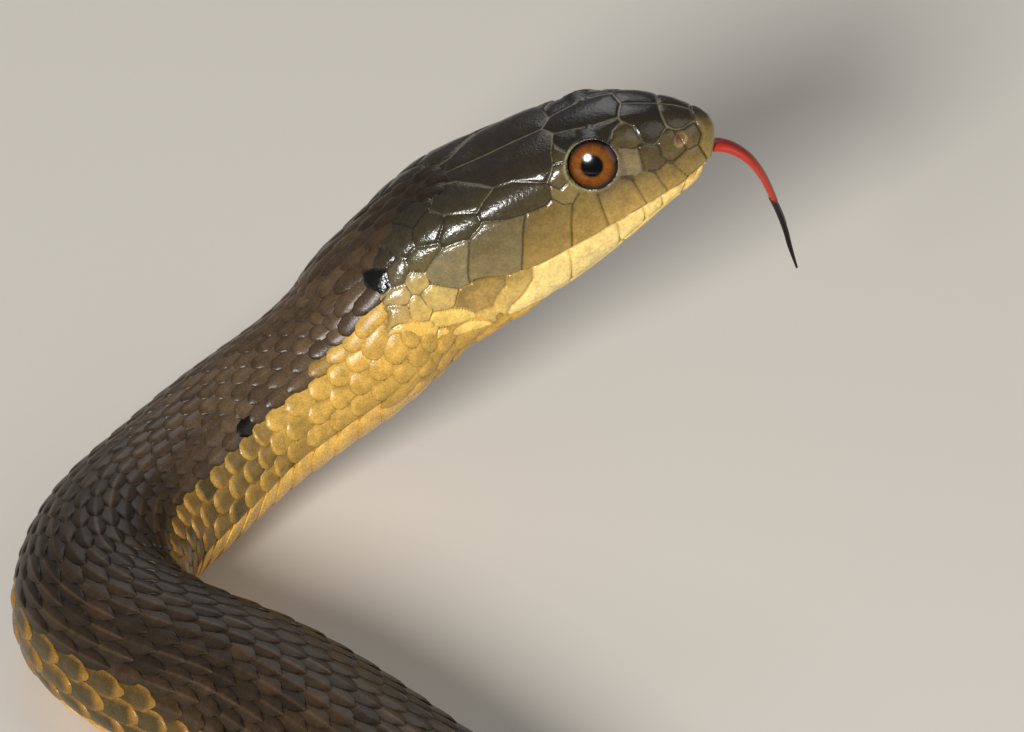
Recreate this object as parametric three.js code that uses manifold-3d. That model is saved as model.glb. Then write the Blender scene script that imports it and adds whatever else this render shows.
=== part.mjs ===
// A garter snake at life size, resting on the floor with its head and neck raised, tongue out.
// Millimetres, +Z up. The floor is z = 0 and the origin is at the middle of the animal's outline.
import * as THREE from 'three';
import { mergeVertices } from 'three/addons/utils/BufferGeometryUtils.js';
import Module from 'manifold-3d';

const wasm = await Module();
wasm.setup();

// Driving dimensions
const NODE_GAP = 0.3;
const FLOOR_FIT = 0.8;       // height of the body's axis over the floor, as a share of its radius
const BELLY_DEPTH = 0.86;    // the belly is flatter than the back
const BODY_SIDES = 18;
const SCUTE_RISE = 0.35;     // on a body at least SCUTE_FULL in radius, less on the thinner tail
const SCUTE_FULL = 6;
const SCUTE_SLOPE = 0.94;    // share of a scute's length over which it rises
const SCUTE_EDGE = 0.62;     // where the belly scutes begin, from 0 at the back to 1 at the belly
const HEAD_YAW = 8;          // degrees, turned away from +X
const HEAD_PITCH = 27.8;
const HEAD_ORIGIN = [-4.2, -16.6, 24.8];   // midline of the head, level with the corners of the mouth
const HEAD_BACK = -9;        // where the head ends and the neck begins, along the head's axis
const MOUTH_GAP = 0.3;
const EYE = { a: 14.25, l: 4.45, u: 3.35, radius: 2.6, depth: 1.15 };
const NOSTRIL = { a: 21.7, l: 2.85, u: 0.6, radius: 0.5, depth: 0.9 };
const HEAD_SIDES = 28;
const HEAD_STATIONS = [-6.5, -4, -1.5, 0, 1.5, 3, 5, 7, 9, 10.8, 12.6, 14.2, 15.6, 17, 18.3, 19.4,
  20.5, 21.5, 22.3, 23.2, 23.9, 24.4];
const EYE_SIDES = 16;
const NOSTRIL_SIDES = 10;
const ORIGIN = [-0.85, 182.51];   // brings the middle of the outline to x = 0, y = 0

// The body's axis: x, y and lift over its resting height, from inside the head to the tail tip.
const AXIS = [
  [-3.4, -16.5, 17.0], [-10.4, -18.3, 12.2], [-14.3, -19.9, 8.8], [-19.3, -22.3, 6.0],
  [-25.0, -25.6, 3.0], [-30.0, -30.6, 0.9], [-34.2, -36.8, 0], [-36.0, -43.6, 0], [-35.6, -50.0, 0],
  [-31.0, -56.6, 0], [-20.8, -65.2, 0], [-9.2, -79.4, 0], [14, -111, 0], [50, -135, 0],
  [92, -150, 0], [120, -180, 0], [106, -216, 0], [62, -234, 0], [10, -234, 0], [-40, -224, 0],
  [-88, -228, 0], [-118, -256, 0], [-120, -296, 0], [-92, -324, 0], [-56, -334, 0], [-22, -356, 0],
];

// Radius and roll in degrees at lengths along the axis. Roll turns the back away from the camera.
const RADIUS = [[0, 8.3], [9, 8.2], [14, 7.7], [20, 7.3], [45, 7.8], [90, 8.6], [170, 9.4], [330, 9.5],
  [470, 8.2], [560, 6.0], [580, 5.2], [620, 4.1], [660, 2.7], [690, 1.4], [707, 0.6]];
const ROLL = [[0, 0], [14, 14], [28, 18], [50, 6], [70, 0], [707, 0]];

// Names, lengths and numbers of belly scutes of the pieces of the body, from the head to the tail.
// The last one runs to the tip. Each scute stands for two or three real ones.
const LENGTHS = [['neck_1', 22, 5], ['neck_2', 20, 5], ['body_1', 62, 11], ['body_2', 95, 13],
  ['body_3', 75, 11], ['body_4', 95, 13], ['body_5', 95, 12], ['body_6', 75, 10], ['tail_1', 85, 12],
  ['tail_2', 0, 10]];

// Sections of the head: a is the distance forward of the corner of the mouth. Each section has its
// height at the midline of the top, the side and height of the edge of the crown, of the cheek,
// of the lip line and of the edge of the throat, and the height of the midline of the throat.
const HEAD = [
  [-4, 7.0, [5.1, 6.2], [7.5, 2.0], [7.5, -2.0], [5.4, -6.8], -8.4],
  [0, 7.3, [5.3, 6.5], [7.3, 2.9], [6.8, 0], [5.6, -6.3], -7.8],
  [2.8, 7.2, [5.2, 6.4], [7.2, 2.8], [6.5, -1.3], [5.4, -6.2], -7.5],
  [5, 7.0, [5.1, 6.3], [7.0, 2.7], [6.3, -1.9], [5.1, -6.1], -7.3],
  [9, 6.8, [4.6, 6.2], [6.2, 3.2], [5.8, -2.2], [4.6, -5.8], -6.8],
  [12.6, 6.5, [4.5, 5.8], [5.5, 3.6], [5.1, -2.5], [4.0, -5.4], -6.3],
  [15.5, 6.1, [4.1, 5.35], [4.8, 3.3], [4.4, -2.8], [3.4, -5.0], -5.8],
  [18, 5.4, [3.1, 4.8], [4.2, 2.4], [3.8, -3.0], [2.8, -4.7], -5.3],
  [20.5, 3.9, [2.4, 3.4], [3.4, 1.2], [3.0, -3.3], [2.2, -4.5], -4.9],
  [22.3, 2.5, [1.8, 2.0], [2.7, 0.2], [2.2, -3.1], [1.4, -3.8], -4.0],
  [23.2, 1.5, [1.4, 1.1], [2.1, -0.4], [1.7, -2.6], [1.0, -3.1], -3.3],
  [23.9, 0.6, [1.0, 0.4], [1.5, -0.7], [1.2, -2.0], [0.7, -2.4], -2.5],
  [24.4, -0.3, [0.4, -0.4], [0.7, -0.9], [0.5, -1.4], [0.3, -1.6], -1.7],
];

// Shields of the head as outlines in a and g, where g runs from 0 at the midline of the top by 0.6 at
// the lip to 1 at the midline of the throat. The frontal is the single one in the middle of the crown,
// and the others are on the right side, mirrored on the left.
const SHIELD_RISE = 0.22;
const SHIELD_ROOT = 0.45;
const FRONTAL = [[18.4, 0], [17.8, 0.11], [16, 0.095], [13.6, 0.065], [12.2, 0.05], [11.3, 0],
  [12.2, -0.05], [13.6, -0.065], [16, -0.095], [17.8, -0.11]];
const SHIELDS = {
  supraocular: [[12.1, 0.065], [14.5, 0.085], [17.9, 0.125], [18, 0.155], [16.9, 0.19], [14, 0.175],
    [11.9, 0.175], [11.8, 0.12]],
  parietal: [[11.2, 0.01], [11.9, 0.06], [11.6, 0.17], [10.9, 0.245], [9.3, 0.215], [7.4, 0.19],
    [5.3, 0.185], [4.6, 0.115], [2.7, 0.06], [1.9, 0.01]],
  prefrontal: [[18.6, 0.01], [21.2, 0.01], [21.2, 0.24], [20.4, 0.34], [19.3, 0.36], [18.8, 0.21],
    [18.1, 0.14]],
  internasal: [[21.4, 0.01], [23.3, 0.02], [23.3, 0.22], [22.4, 0.28], [21.4, 0.24]],
  nasal_front: [[22.6, 0.31], [23.3, 0.27], [23.3, 0.38], [22.8, 0.44], [22.1, 0.45]],
  nasal_rear: [[21.2, 0.31], [21.1, 0.44], [20.3, 0.48], [19.8, 0.45], [20.5, 0.36]],
  loreal: [[19.2, 0.38], [19.8, 0.41], [19.5, 0.46], [18.7, 0.48], [18, 0.46], [18.6, 0.39]],
  preocular: [[17.2, 0.2], [18.2, 0.165], [18.9, 0.22], [18.6, 0.33], [17.9, 0.36], [17.5, 0.3]],
  postocular: [[11.8, 0.2], [12, 0.24], [11.6, 0.32], [11, 0.3], [11.3, 0.23]],
  temporal_front: [[5.2, 0.205], [7.4, 0.205], [9.4, 0.235], [10.7, 0.275], [10.3, 0.335], [8, 0.335],
    [5.5, 0.315], [3.4, 0.275], [4, 0.225]],
  temporal_upper: [[0, 0.095], [2.7, 0.075], [4.4, 0.13], [5, 0.185], [3.6, 0.205], [0.8, 0.2],
    [-0.3, 0.155]],
  lip_rear: [[1.2, 0.345], [-0.4, 0.305], [-2.8, 0.36], [-3.1, 0.41], [-1.6, 0.45], [-0.1, 0.56]],
  temporal_lower: [[0.8, 0.22], [3.5, 0.22], [3, 0.28], [1.4, 0.32], [-0.2, 0.28]],
};
// Where the first seven of the eight upper lip shields part: forward position at the lip and at their
// upper edge, and the height of that upper edge as g. They reach down to LIP_FOOT.
const LIP_FOOT = 0.575;
const LIP_SHIELDS = [[22.5, 22.5, 0.48], [20.6, 20.1, 0.5], [18.4, 18.4, 0.505], [16.3, 16.4, 0.5],
  [13.1, 13.2, 0.49], [9, 10.8, 0.46], [4.8, 6.9, 0.37], [0.3, 1.4, 0.345]];

// Where the lower lip shields part along the jaw, how far they reach in g, and how far their lower
// edges lie behind their upper ones. Then the chin shields as outlines.
const LOWER_LIP_SHIELDS = [20.4, 17.8, 15.5, 13.3, 9.5, 5.6, 2.6];
const LOWER_LIP = [0.63, 0.71];
const LOWER_LIP_RAKE = 0.5;
const SHIELD_PARTING = 0.1;   // half the width of the groove between two lip shields
const CHIN_SHIELDS = [
  [[18, 0.985], [18.4, 0.87], [16.5, 0.82], [13.6, 0.83], [13.1, 0.9], [13.4, 0.985]],
  [[13, 0.985], [12.8, 0.9], [13.2, 0.83], [10.5, 0.82], [8, 0.86], [7.6, 0.94], [9, 0.985]],
];

// The tongue in the head's midplane: forward, up, width and thickness, to the fork and then along
// one of the two tips, which part to both sides by the last value.
const TONGUE_SIDES = 10;
const TIP_SIDES = 6;
const TONGUE = [
  [20.6, -2.95, 1.6, 0.75], [22, -3.0, 1.8, 0.85], [23.2, -3.2, 1.9, 0.9], [24.5, -4.3, 1.9, 0.9],
  [25.4, -6.3, 1.8, 0.85], [25.6, -8.6, 1.5, 0.75], [25.4, -10.7, 1.25, 0.65], [25.3, -11.6, 1.1, 0.55],
];
const TONGUE_TIP = [
  [25.24, -11.0, 0.6, 0.52, 0.26], [25.1, -12.6, 0.55, 0.52, 0.45], [24.8, -14.4, 0.52, 0.5, 0.85],
  [24.4, -15.9, 0.45, 0.42, 1.3], [24.0, -17.8, 0.2, 0.2, 1.9],
];

// Smooth curve through rows of [position, value, ...]: cubic pieces whose slopes are the averages
// of the slopes at both sides.
function follow(rows, x) {
  const last = rows.length - 1;
  let i = 0;
  while (i < last - 1 && x > rows[i + 1][0]) i += 1;
  const slope = (k) => {
    const before = rows[Math.max(k - 1, 0)];
    const after = rows[Math.min(k + 1, last)];
    return rows[k].map((value, n) => (after[n] - before[n]) / (after[0] - before[0]));
  };
  const [from, to] = [rows[i], rows[i + 1]];
  const width = to[0] - from[0];
  const t = Math.min(Math.max((x - from[0]) / width, 0), 1);
  const [m0, m1] = [slope(i), slope(i + 1)];
  const [h0, h1] = [(1 + 2 * t) * (1 - t) ** 2, t * t * (3 - 2 * t)];
  const [k0, k1] = [t * (1 - t) ** 2 * width, t * t * (t - 1) * width];
  return from.slice(1).map((value, n) => h0 * value + h1 * to[n + 1] + k0 * m0[n + 1] + k1 * m1[n + 1]);
}

const lerp = (a, b, t) => a + (b - a) * t;
const radians = THREE.MathUtils.degToRad;

// The axis as a curve. Its heights need the radius, which depends on the length along the curve,
// so a flat curve gives the lengths first.
const floorCurve = new THREE.CatmullRomCurve3(
  AXIS.map(([x, y, lift]) => new THREE.Vector3(x, y, lift)), false, 'catmullrom', 0.5);
floorCurve.arcLengthDivisions = 4000;
const TOTAL = floorCurve.getLength();

// Centre, sideways and upward directions of the body at a length along the axis.
function station(s) {
  const at = (length) => {
    const point = floorCurve.getPointAt(THREE.MathUtils.clamp(length / TOTAL, 0, 1));
    point.z += FLOOR_FIT * follow(RADIUS, length)[0];
    return point;
  };
  const centre = at(s);
  const tangent = at(s + 0.5).sub(at(s - 0.5)).normalize();
  const side = new THREE.Vector3(0, 0, 1).cross(tangent).normalize();
  const up = new THREE.Vector3().crossVectors(tangent, side);
  side.applyAxisAngle(tangent, radians(follow(ROLL, s)[0]));
  up.applyAxisAngle(tangent, radians(follow(ROLL, s)[0]));
  return { centre, side, up, radius: follow(RADIUS, s)[0] };
}

// Point on the body's surface. g runs from 0 at the back to 1 at the belly, on the side of its sign.
// From the edge of the belly scutes down the surface rises by raised.
function bodyPoint(s, g, raised = 0) {
  const { centre, side, up, radius } = station(s);
  const angle = Math.PI * g;
  const reach = radius + (Math.abs(g) > SCUTE_EDGE ? raised : 0);
  const height = reach * Math.cos(angle) * (Math.cos(angle) < 0 ? BELLY_DEPTH : 1);
  const point = centre.clone().addScaledVector(side, reach * Math.sin(angle)).addScaledVector(up, height);
  point.z = Math.max(point.z, 0);
  return point;
}

// The head's own frame: a forward, l to its right, u up.
const yaw = radians(HEAD_YAW);
const pitch = radians(HEAD_PITCH);
const FORWARD = new THREE.Vector3(
  Math.cos(yaw) * Math.cos(pitch), Math.sin(yaw) * Math.cos(pitch), Math.sin(pitch));
const RIGHT = new THREE.Vector3(Math.sin(yaw), -Math.cos(yaw), 0);
const UP = new THREE.Vector3().crossVectors(RIGHT, FORWARD);
const headOrigin = new THREE.Vector3(...HEAD_ORIGIN);
const fromHead = (a, l, u) => headOrigin.clone().addScaledVector(FORWARD, a).addScaledVector(RIGHT, l)
  .addScaledVector(UP, u);

// Rows of a and then six points of the section, three values each. LIP_HEIGHT is the place of the
// height of the lip in what follow gives for them.
const headRows = HEAD.map(([a, top, crown, cheek, lip, throat, bottom]) => (
  [a, a, 0, top, a, ...crown, a, ...cheek, a, ...lip, a, ...throat, a, 0, bottom]));
const LIP_HEIGHT = 11;
// The last section is the first one of the neck, seen in the head's frame.
const neckStart = -HEAD_BACK;
const joint = [0, 0.2, 0.4, 0.6, 0.8, 1].flatMap((g) => {
  const offset = bodyPoint(neckStart, g).sub(headOrigin);
  return [offset.dot(FORWARD), offset.dot(RIGHT), offset.dot(UP)];
});
headRows.unshift([HEAD_BACK, ...joint]);

// Point on the head's surface, with g as on the body but positive on the right.
function headPoint(a, g) {
  const keys = follow(headRows, a);
  const key = (n) => {
    const m = n < 0 ? -n : n > 5 ? 10 - n : n;
    const sign = n < 0 || n > 5 ? -1 : 1;
    return [keys[3 * m], sign * keys[3 * m + 1], keys[3 * m + 2]];
  };
  const place = Math.min(Math.abs(g) * 5, 4.9999);
  const i = Math.floor(place);
  const t = place - i;
  const [p0, p1, p2, p3] = [key(i - 1), key(i), key(i + 1), key(i + 2)];
  const local = p1.map((v, n) => 0.5 * (2 * v + (p2[n] - p0[n]) * t
    + (2 * p0[n] - 5 * v + 4 * p2[n] - p3[n]) * t * t + (3 * v - p0[n] - 3 * p2[n] + p3[n]) * t ** 3));
  return fromHead(local[0], Math.sign(g || 1) * local[1], local[2]);
}

// Closed mesh through rings of points, with a fan at each end.
function loft(rings) {
  const sides = rings[0].length;
  const points = rings.flat();
  const index = [];
  for (let i = 0; i < rings.length - 1; i += 1) {
    for (let j = 0; j < sides; j += 1) {
      const [a, b] = [i * sides + j, i * sides + ((j + 1) % sides)];
      index.push(a, b, b + sides, a, b + sides, a + sides);
    }
  }
  for (const [ring, first] of [[rings[0], 0], [rings.at(-1), (rings.length - 1) * sides]]) {
    const middle = ring.reduce((sum, p) => sum.add(p), new THREE.Vector3()).divideScalar(sides);
    points.push(middle);
    for (let j = 0; j < sides; j += 1) {
      const [a, b] = [first + j, first + ((j + 1) % sides)];
      index.push(points.length - 1, first ? a : b, first ? b : a);
    }
  }
  return outward(points, index);
}

// Geometry with its faces turned outward.
function outward(points, index) {
  const volume = index.reduce((sum, _, n) => (n % 3 ? sum
    : sum + points[index[n]].dot(points[index[n + 1]].clone().cross(points[index[n + 2]]))), 0);
  const order = volume < 0 ? index.toReversed() : index;
  const geometry = new THREE.BufferGeometry();
  const places = points.flatMap((p) => [p.x, p.y, p.z]);
  geometry.setAttribute('position', new THREE.Float32BufferAttribute(places, 3));
  geometry.setIndex(order);
  return geometry;
}

// Cuts and joins
function toSolid(geometry) {
  const merged = mergeVertices(geometry, 1e-4);
  const triVerts = new Uint32Array(merged.index.array);
  return new wasm.Manifold(
    new wasm.Mesh({ numProp: 3, vertProperties: merged.attributes.position.array, triVerts }));
}

function toGeometry(solid) {
  const largest = solid.decompose().sort((p, q) => q.volume() - p.volume())[0];
  const { vertProperties, triVerts } = largest.getMesh();
  const geometry = new THREE.BufferGeometry();
  geometry.setAttribute('position', new THREE.BufferAttribute(new Float32Array(vertProperties), 3));
  geometry.setIndex(new THREE.BufferAttribute(new Uint32Array(triVerts), 1));
  return geometry;
}

const around = (count) => Array.from({ length: count }, (_, j) => {
  const g = (2 * j) / count;
  return g > 1 ? g - 2 : g;
});

// A length of the body. Each scute starts low at its front and ends raised, so its rear edge steps
// down to the next one.
function bodyPiece(from, to, scutes) {
  const length = (to - from) / scutes;
  const rings = [];
  const addRing = (s, raised) => rings.push(around(BODY_SIDES).map((g) => bodyPoint(s, g, raised)));
  for (let i = 0; i < scutes; i += 1) {
    const rise = SCUTE_RISE * Math.min(1, station(from + i * length).radius / SCUTE_FULL);
    addRing(from + i * length, 0);
    addRing(from + (i + SCUTE_SLOPE) * length, rise);
  }
  addRing(to, 0);
  return loft(rings);
}

// Head and lower jaw, cut from one form along the line of the lips
const headForm = toSolid(loft([HEAD_BACK + NODE_GAP / 2, ...HEAD_STATIONS].map(
  (a) => around(HEAD_SIDES).map((g) => headPoint(a, g)))));

// Everything below the lip line from back forward, its top moved up or down by shift. In front of
// the last lip shield the line of the mouth runs on level, a little lower.
function belowLips(shift, back) {
  const [front, drop, side, under] = [22.3, 0.1, 12, -14];
  const rings = [back, 1.4, 2.8, 5, 9, 12.6, 15.5, 18, 20.5, front, 28].map((a) => {
    const lip = follow(headRows, Math.min(a, front))[LIP_HEIGHT];
    const height = lip - (a > front ? drop : 0) + shift;
    return [fromHead(a, side, height), fromHead(a, -side, height), fromHead(a, -side, under),
      fromHead(a, side, under)];
  });
  return toSolid(loft(rings));
}

// A ball flattened from side to side, such as an eye or the pit of a nostril, grown by extra.
function ball(size, sign, extra, facets) {
  const geometry = new THREE.SphereGeometry(1, facets, Math.round((facets * 2) / 3));
  geometry.deleteAttribute('uv');
  geometry.deleteAttribute('normal');
  const [radius, depth] = [size.radius + extra, size.depth + extra];
  geometry.applyMatrix4(new THREE.Matrix4().makeBasis(FORWARD.clone().multiplyScalar(radius),
    UP.clone().multiplyScalar(radius), RIGHT.clone().multiplyScalar(depth)));
  const centre = fromHead(size.a, sign * size.l, size.u);
  return mergeVertices(geometry.translate(centre.x, centre.y, centre.z), 1e-4);
}

// A flat strand through rows of [a, u, width, thickness, offset to the side], grown by extra.
function strand(rows, facets, sign = 0, extra = 0) {
  const rings = rows.map(([a, u, width, thickness, aside = 0], i) => {
    const [before, after] = [rows[Math.max(i - 1, 0)], rows[Math.min(i + 1, rows.length - 1)]];
    const along = new THREE.Vector2(after[0] - before[0], after[1] - before[1]).normalize();
    return around(facets).map((g) => {
      const across = (width / 2 + extra) * Math.sin(Math.PI * g);
      const above = (thickness / 2 + extra) * Math.cos(Math.PI * g);
      return fromHead(a - along.y * above, sign * aside + across, u + along.x * above);
    });
  });
  return loft(rings);
}

// Outline of a shield shrunk to a share of its size, with a point in the middle of each long edge.
function outlinePoints(corners, share) {
  const [perG, longEdge] = [18, 2.6];   // millimetres around the head for each unit of g
  const [ca, cg] = [0, 1].map((n) => corners.reduce((sum, c) => sum + c[n], 0) / corners.length);
  return corners.flatMap(([a, g], i) => {
    const [nextA, nextG] = corners[(i + 1) % corners.length];
    const long = Math.hypot(nextA - a, (nextG - g) * perG) > longEdge;
    const points = long ? [[a, g], [lerp(a, nextA, 0.5), lerp(g, nextG, 0.5)]] : [[a, g]];
    return points.map(([x, y]) => [lerp(ca, x, share), lerp(cg, y, share)]);
  });
}

// A shield is a thin plate whose root is sunk in the head and whose edge slopes up to its face.
function shield(corners, sign) {
  const [stepA, stepG] = [0.2, 0.02];
  const rings = [[1, -SHIELD_ROOT], [0.97, 0], [0.86, SHIELD_RISE], [0.45, SHIELD_RISE * 1.2]];
  return toSolid(loft(rings.map(([share, rise]) => outlinePoints(corners, share).map(([a, g]) => {
    const [point, ahead, below] = [[a, g], [a + stepA, g], [a, g + stepG]].map(
      ([x, y]) => headPoint(x, sign * y));
    const normal = ahead.sub(point).cross(below.sub(point)).multiplyScalar(sign).normalize();
    return point.addScaledVector(normal, rise);
  }))));
}

const upperLip = LIP_SHIELDS.slice(1).map(([lip, top, g], i) => {
  const [frontLip, frontTop, frontG] = LIP_SHIELDS[i];
  return [[frontLip - SHIELD_PARTING, LIP_FOOT], [frontTop - SHIELD_PARTING, frontG],
    [top + SHIELD_PARTING, g], [lip + SHIELD_PARTING, LIP_FOOT]];
});
const lowerLip = LOWER_LIP_SHIELDS.slice(1).map((rear, i) => {
  const [front, back] = [LOWER_LIP_SHIELDS[i] - SHIELD_PARTING, rear + SHIELD_PARTING];
  const [upper, lower] = LOWER_LIP;
  return [[front, upper], [front - LOWER_LIP_RAKE, lower], [back - LOWER_LIP_RAKE, lower], [back, upper]];
});
const sides = { right: 1, left: -1 };
let shielded = headForm.add(shield(FRONTAL, 1));
for (const corners of [...Object.values(SHIELDS), ...upperLip, ...lowerLip, ...CHIN_SHIELDS]) {
  shielded = Object.values(sides).reduce((joined, sign) => joined.add(shield(corners, sign)), shielded);
}
const tongueRoom = toSolid(strand(TONGUE, TONGUE_SIDES, 0, NODE_GAP));
let skull = shielded.subtract(belowLips(MOUTH_GAP / 2, 0)).subtract(tongueRoom);
for (const sign of Object.values(sides)) {
  skull = skull.subtract(toSolid(ball(EYE, sign, NODE_GAP, EYE_SIDES)))
    .subtract(toSolid(ball(NOSTRIL, sign, 0, NOSTRIL_SIDES)));
}
const jaw = shielded.intersect(belowLips(-MOUTH_GAP / 2, MOUTH_GAP)).subtract(tongueRoom);
const tongue = Object.values(sides).reduce(
  (joined, sign) => joined.add(toSolid(strand(TONGUE_TIP, TIP_SIDES, sign))),
  toSolid(strand(TONGUE, TONGUE_SIDES)));

// The snake
const snake = new THREE.Group();

function addPiece(name, geometry, colour, roughness) {
  const material = new THREE.MeshStandardMaterial({ color: colour, roughness, metalness: 0 });
  const mesh = new THREE.Mesh(geometry, material);
  mesh.name = name;
  mesh.position.set(ORIGIN[0], ORIGIN[1], 0);
  snake.add(mesh);
}

addPiece('head', toGeometry(skull), '#3a3320', 0.4);
addPiece('lower_jaw', toGeometry(jaw), '#e8c55a', 0.4);
for (const [side, sign] of Object.entries(sides)) {
  addPiece(`eye_${side}`, ball(EYE, sign, 0, EYE_SIDES), '#a65a28', 0.1);
}
addPiece('tongue', toGeometry(tongue), '#c03018', 0.4);

let reached = neckStart;
for (const [name, length, scutes] of LENGTHS) {
  const end = length ? reached + length : TOTAL;
  addPiece(name, bodyPiece(reached + NODE_GAP / 2, end - NODE_GAP / 2, scutes), '#3d3424', 0.6);
  reached = end;
}

export default snake;
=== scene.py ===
# A garter snake at life size, lying on a plain floor with its head and neck raised and its tongue out.
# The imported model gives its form. This script gives it a skin with head shields, scales, eyes and tongue.
import math

import bpy
import numpy as np
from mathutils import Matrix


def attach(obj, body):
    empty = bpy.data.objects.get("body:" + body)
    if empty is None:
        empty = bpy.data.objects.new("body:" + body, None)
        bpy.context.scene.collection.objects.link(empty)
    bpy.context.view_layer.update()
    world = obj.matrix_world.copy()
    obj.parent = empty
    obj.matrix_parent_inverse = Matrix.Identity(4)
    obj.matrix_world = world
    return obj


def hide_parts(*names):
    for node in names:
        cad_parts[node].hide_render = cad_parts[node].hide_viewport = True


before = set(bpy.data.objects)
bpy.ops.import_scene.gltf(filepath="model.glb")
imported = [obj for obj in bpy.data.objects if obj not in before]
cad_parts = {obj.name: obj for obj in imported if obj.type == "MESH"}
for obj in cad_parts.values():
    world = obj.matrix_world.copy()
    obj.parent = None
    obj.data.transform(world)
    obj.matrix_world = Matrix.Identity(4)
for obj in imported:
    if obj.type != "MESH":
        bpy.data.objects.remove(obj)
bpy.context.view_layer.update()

# Camera. It looks along +Y from 34 degrees above the floor through a very long lens, and takes in 90.6 mm
# of the snake at the distance of its head and neck, which stand nearer than the point that it looks at.
MIDDLE = (-0.85, 182.51)    # of the whole snake, as the way to it from the point that the camera looks at
VIEW_WIDTH = 90.62
VIEW_HEIGHT_DEG = 34.0
VIEW_DISTANCE = 3000.0
HEAD_NEARER = 35.0
SENSOR_WIDTH = 36.0


def metres(points):
    """Millimetres from the head's place to metres from the middle of the whole snake."""
    return (np.asarray(points, float) + np.array([*MIDDLE, 0.0])) / 1000


def aimed(name, data, place, target):
    """An object at place whose -Z looks at target, both in millimetres."""
    made = bpy.data.objects.new(name, data)
    bpy.context.scene.collection.objects.link(made)
    away = metres(place) - metres(target)
    made.location = metres(place)
    made.rotation_euler = track(away)
    return made


def track(away):
    """Turn about X and then Z that brings +Z to the direction away."""
    level = math.hypot(away[0], away[1])
    return (math.atan2(level, away[2]), 0.0, math.atan2(away[1], away[0]) + math.pi / 2)


lift = math.radians(VIEW_HEIGHT_DEG)
lens = bpy.data.cameras.new("camera")
lens.sensor_width = SENSOR_WIDTH
lens.lens = SENSOR_WIDTH * (VIEW_DISTANCE - HEAD_NEARER) / VIEW_WIDTH
eye_point = (0, -VIEW_DISTANCE * math.cos(lift), VIEW_DISTANCE * math.sin(lift))
bpy.context.scene.camera = aimed("camera", lens, eye_point, (0, 0, 0))

# Floor and light. A plain pale floor, a soft key light in front, a little left of the camera and about
# as high as it, two weak wide lights and an even pale sky.


def linear(code):
    """An sRGB hex colour as linear red, green, blue and 1."""
    parts = np.array([int(code[i:i + 2], 16) for i in (1, 3, 5)]) / 255
    return (*np.where(parts <= 0.04045, parts / 12.92, ((parts + 0.055) / 1.055) ** 2.4), 1.0)


def node(tree, kind, settings=(), **inputs):
    """Adds a node with its settings, and links or sets its inputs. An input goes by its name, with _ for
    a space, or by its number after an i."""
    made = tree.nodes.new(kind)
    for name, value in dict(settings).items():
        setattr(made, name, value)
    for name, value in inputs.items():
        numbered = name[0] == "i" and name[1:].isdigit()
        socket = made.inputs[int(name[1:]) if numbered else name.replace("_", " ")]
        if isinstance(value, bpy.types.NodeSocket):
            tree.links.new(value, socket)
        else:
            socket.default_value = value
    return made


def finish(name, tinted=False, **values):
    """A material with a value for each named socket of its shader, with _ for a space. If tinted, it
    takes its colour from the points of its mesh."""
    made = bpy.data.materials.new(name)
    made.use_nodes = True
    shader = made.node_tree.nodes["Principled BSDF"]
    if tinted:
        colour = node(made.node_tree, "ShaderNodeAttribute", {"attribute_name": "tint"}).outputs["Color"]
        made.node_tree.links.new(colour, shader.inputs["Base Color"])
    for socket, value in values.items():
        shader.inputs[socket.replace("_", " ")].default_value = value
    return made


def area_light(name, place, target, size, watts):
    """A round soft box, size millimetres across."""
    data = bpy.data.lights.new(name, "AREA")
    data.shape = "DISK"
    data.size = size / 1000
    data.energy = watts
    return aimed(name, data, place, target)


area_light("key_light", (-300, -930, 500), (0, -30, 15), 270, 15)
area_light("fill_light", (700, -300, 500), (0, -100, 10), 900, 2.4)
area_light("back_light", (-100, 700, 600), (0, -60, 10), 500, 1.2)

sky = bpy.data.worlds.new("sky")
bpy.context.scene.world = sky
sky.use_nodes = True
background = sky.node_tree.nodes["Background"]
background.inputs["Color"].default_value = linear("#e6ebf2")
background.inputs["Strength"].default_value = 0.22
bpy.context.scene.view_settings.view_transform = "Standard"

# A wall paint without gloss: light spreads on it evenly. The floor lies a hair below the belly, so that
# the two faces don't coincide.
FLOOR_REACH = 40.0     # in metres, as is the next
FLOOR_DROP = 5e-5
floor_mesh = bpy.data.meshes.new("floor")
floor_mesh.from_pydata([(x * FLOOR_REACH, y * FLOOR_REACH, -FLOOR_DROP)
                        for x, y in ((-1, -1), (1, -1), (1, 1), (-1, 1))], [], [(0, 1, 2, 3)])
floor_mesh.materials.append(finish("pale_matt_floor", Base_Color=linear("#cdc6bb"), Roughness=0.85))
floor = bpy.data.objects.new("floor", floor_mesh)
bpy.context.scene.collection.objects.link(floor)

# The form of the body: a curve along the middle of the snake from inside the head to the tip of the
# tail, with the radius and roll of the body along it. All lengths are in millimetres.
AXIS = np.array([
    (-3.4, -16.5, 17.0), (-10.4, -18.3, 12.2), (-14.3, -19.9, 8.8), (-19.3, -22.3, 6.0), (-25.0, -25.6, 3.0),
    (-30.0, -30.6, 0.9), (-34.2, -36.8, 0), (-36.0, -43.6, 0), (-35.6, -50.0, 0), (-31.0, -56.6, 0),
    (-20.8, -65.2, 0), (-9.2, -79.4, 0), (14, -111, 0), (50, -135, 0), (92, -150, 0), (120, -180, 0),
    (106, -216, 0), (62, -234, 0), (10, -234, 0), (-40, -224, 0), (-88, -228, 0), (-118, -256, 0),
    (-120, -296, 0), (-92, -324, 0), (-56, -334, 0), (-22, -356, 0)])
RADIUS = np.array([
    (0, 8.3), (9, 8.2), (14, 7.7), (20, 7.3), (45, 7.8), (90, 8.6), (170, 9.4), (330, 9.5), (470, 8.2),
    (560, 6.0), (580, 5.2), (620, 4.1), (660, 2.7), (690, 1.4), (707, 0.6)])
ROLL = np.array([(0, 0), (14, 15), (28, 19), (44, 20), (58, 8), (75, 0), (707, 0)])
FLOOR_FIT = 0.8      # height of the axis over the floor, as a share of the radius
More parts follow.
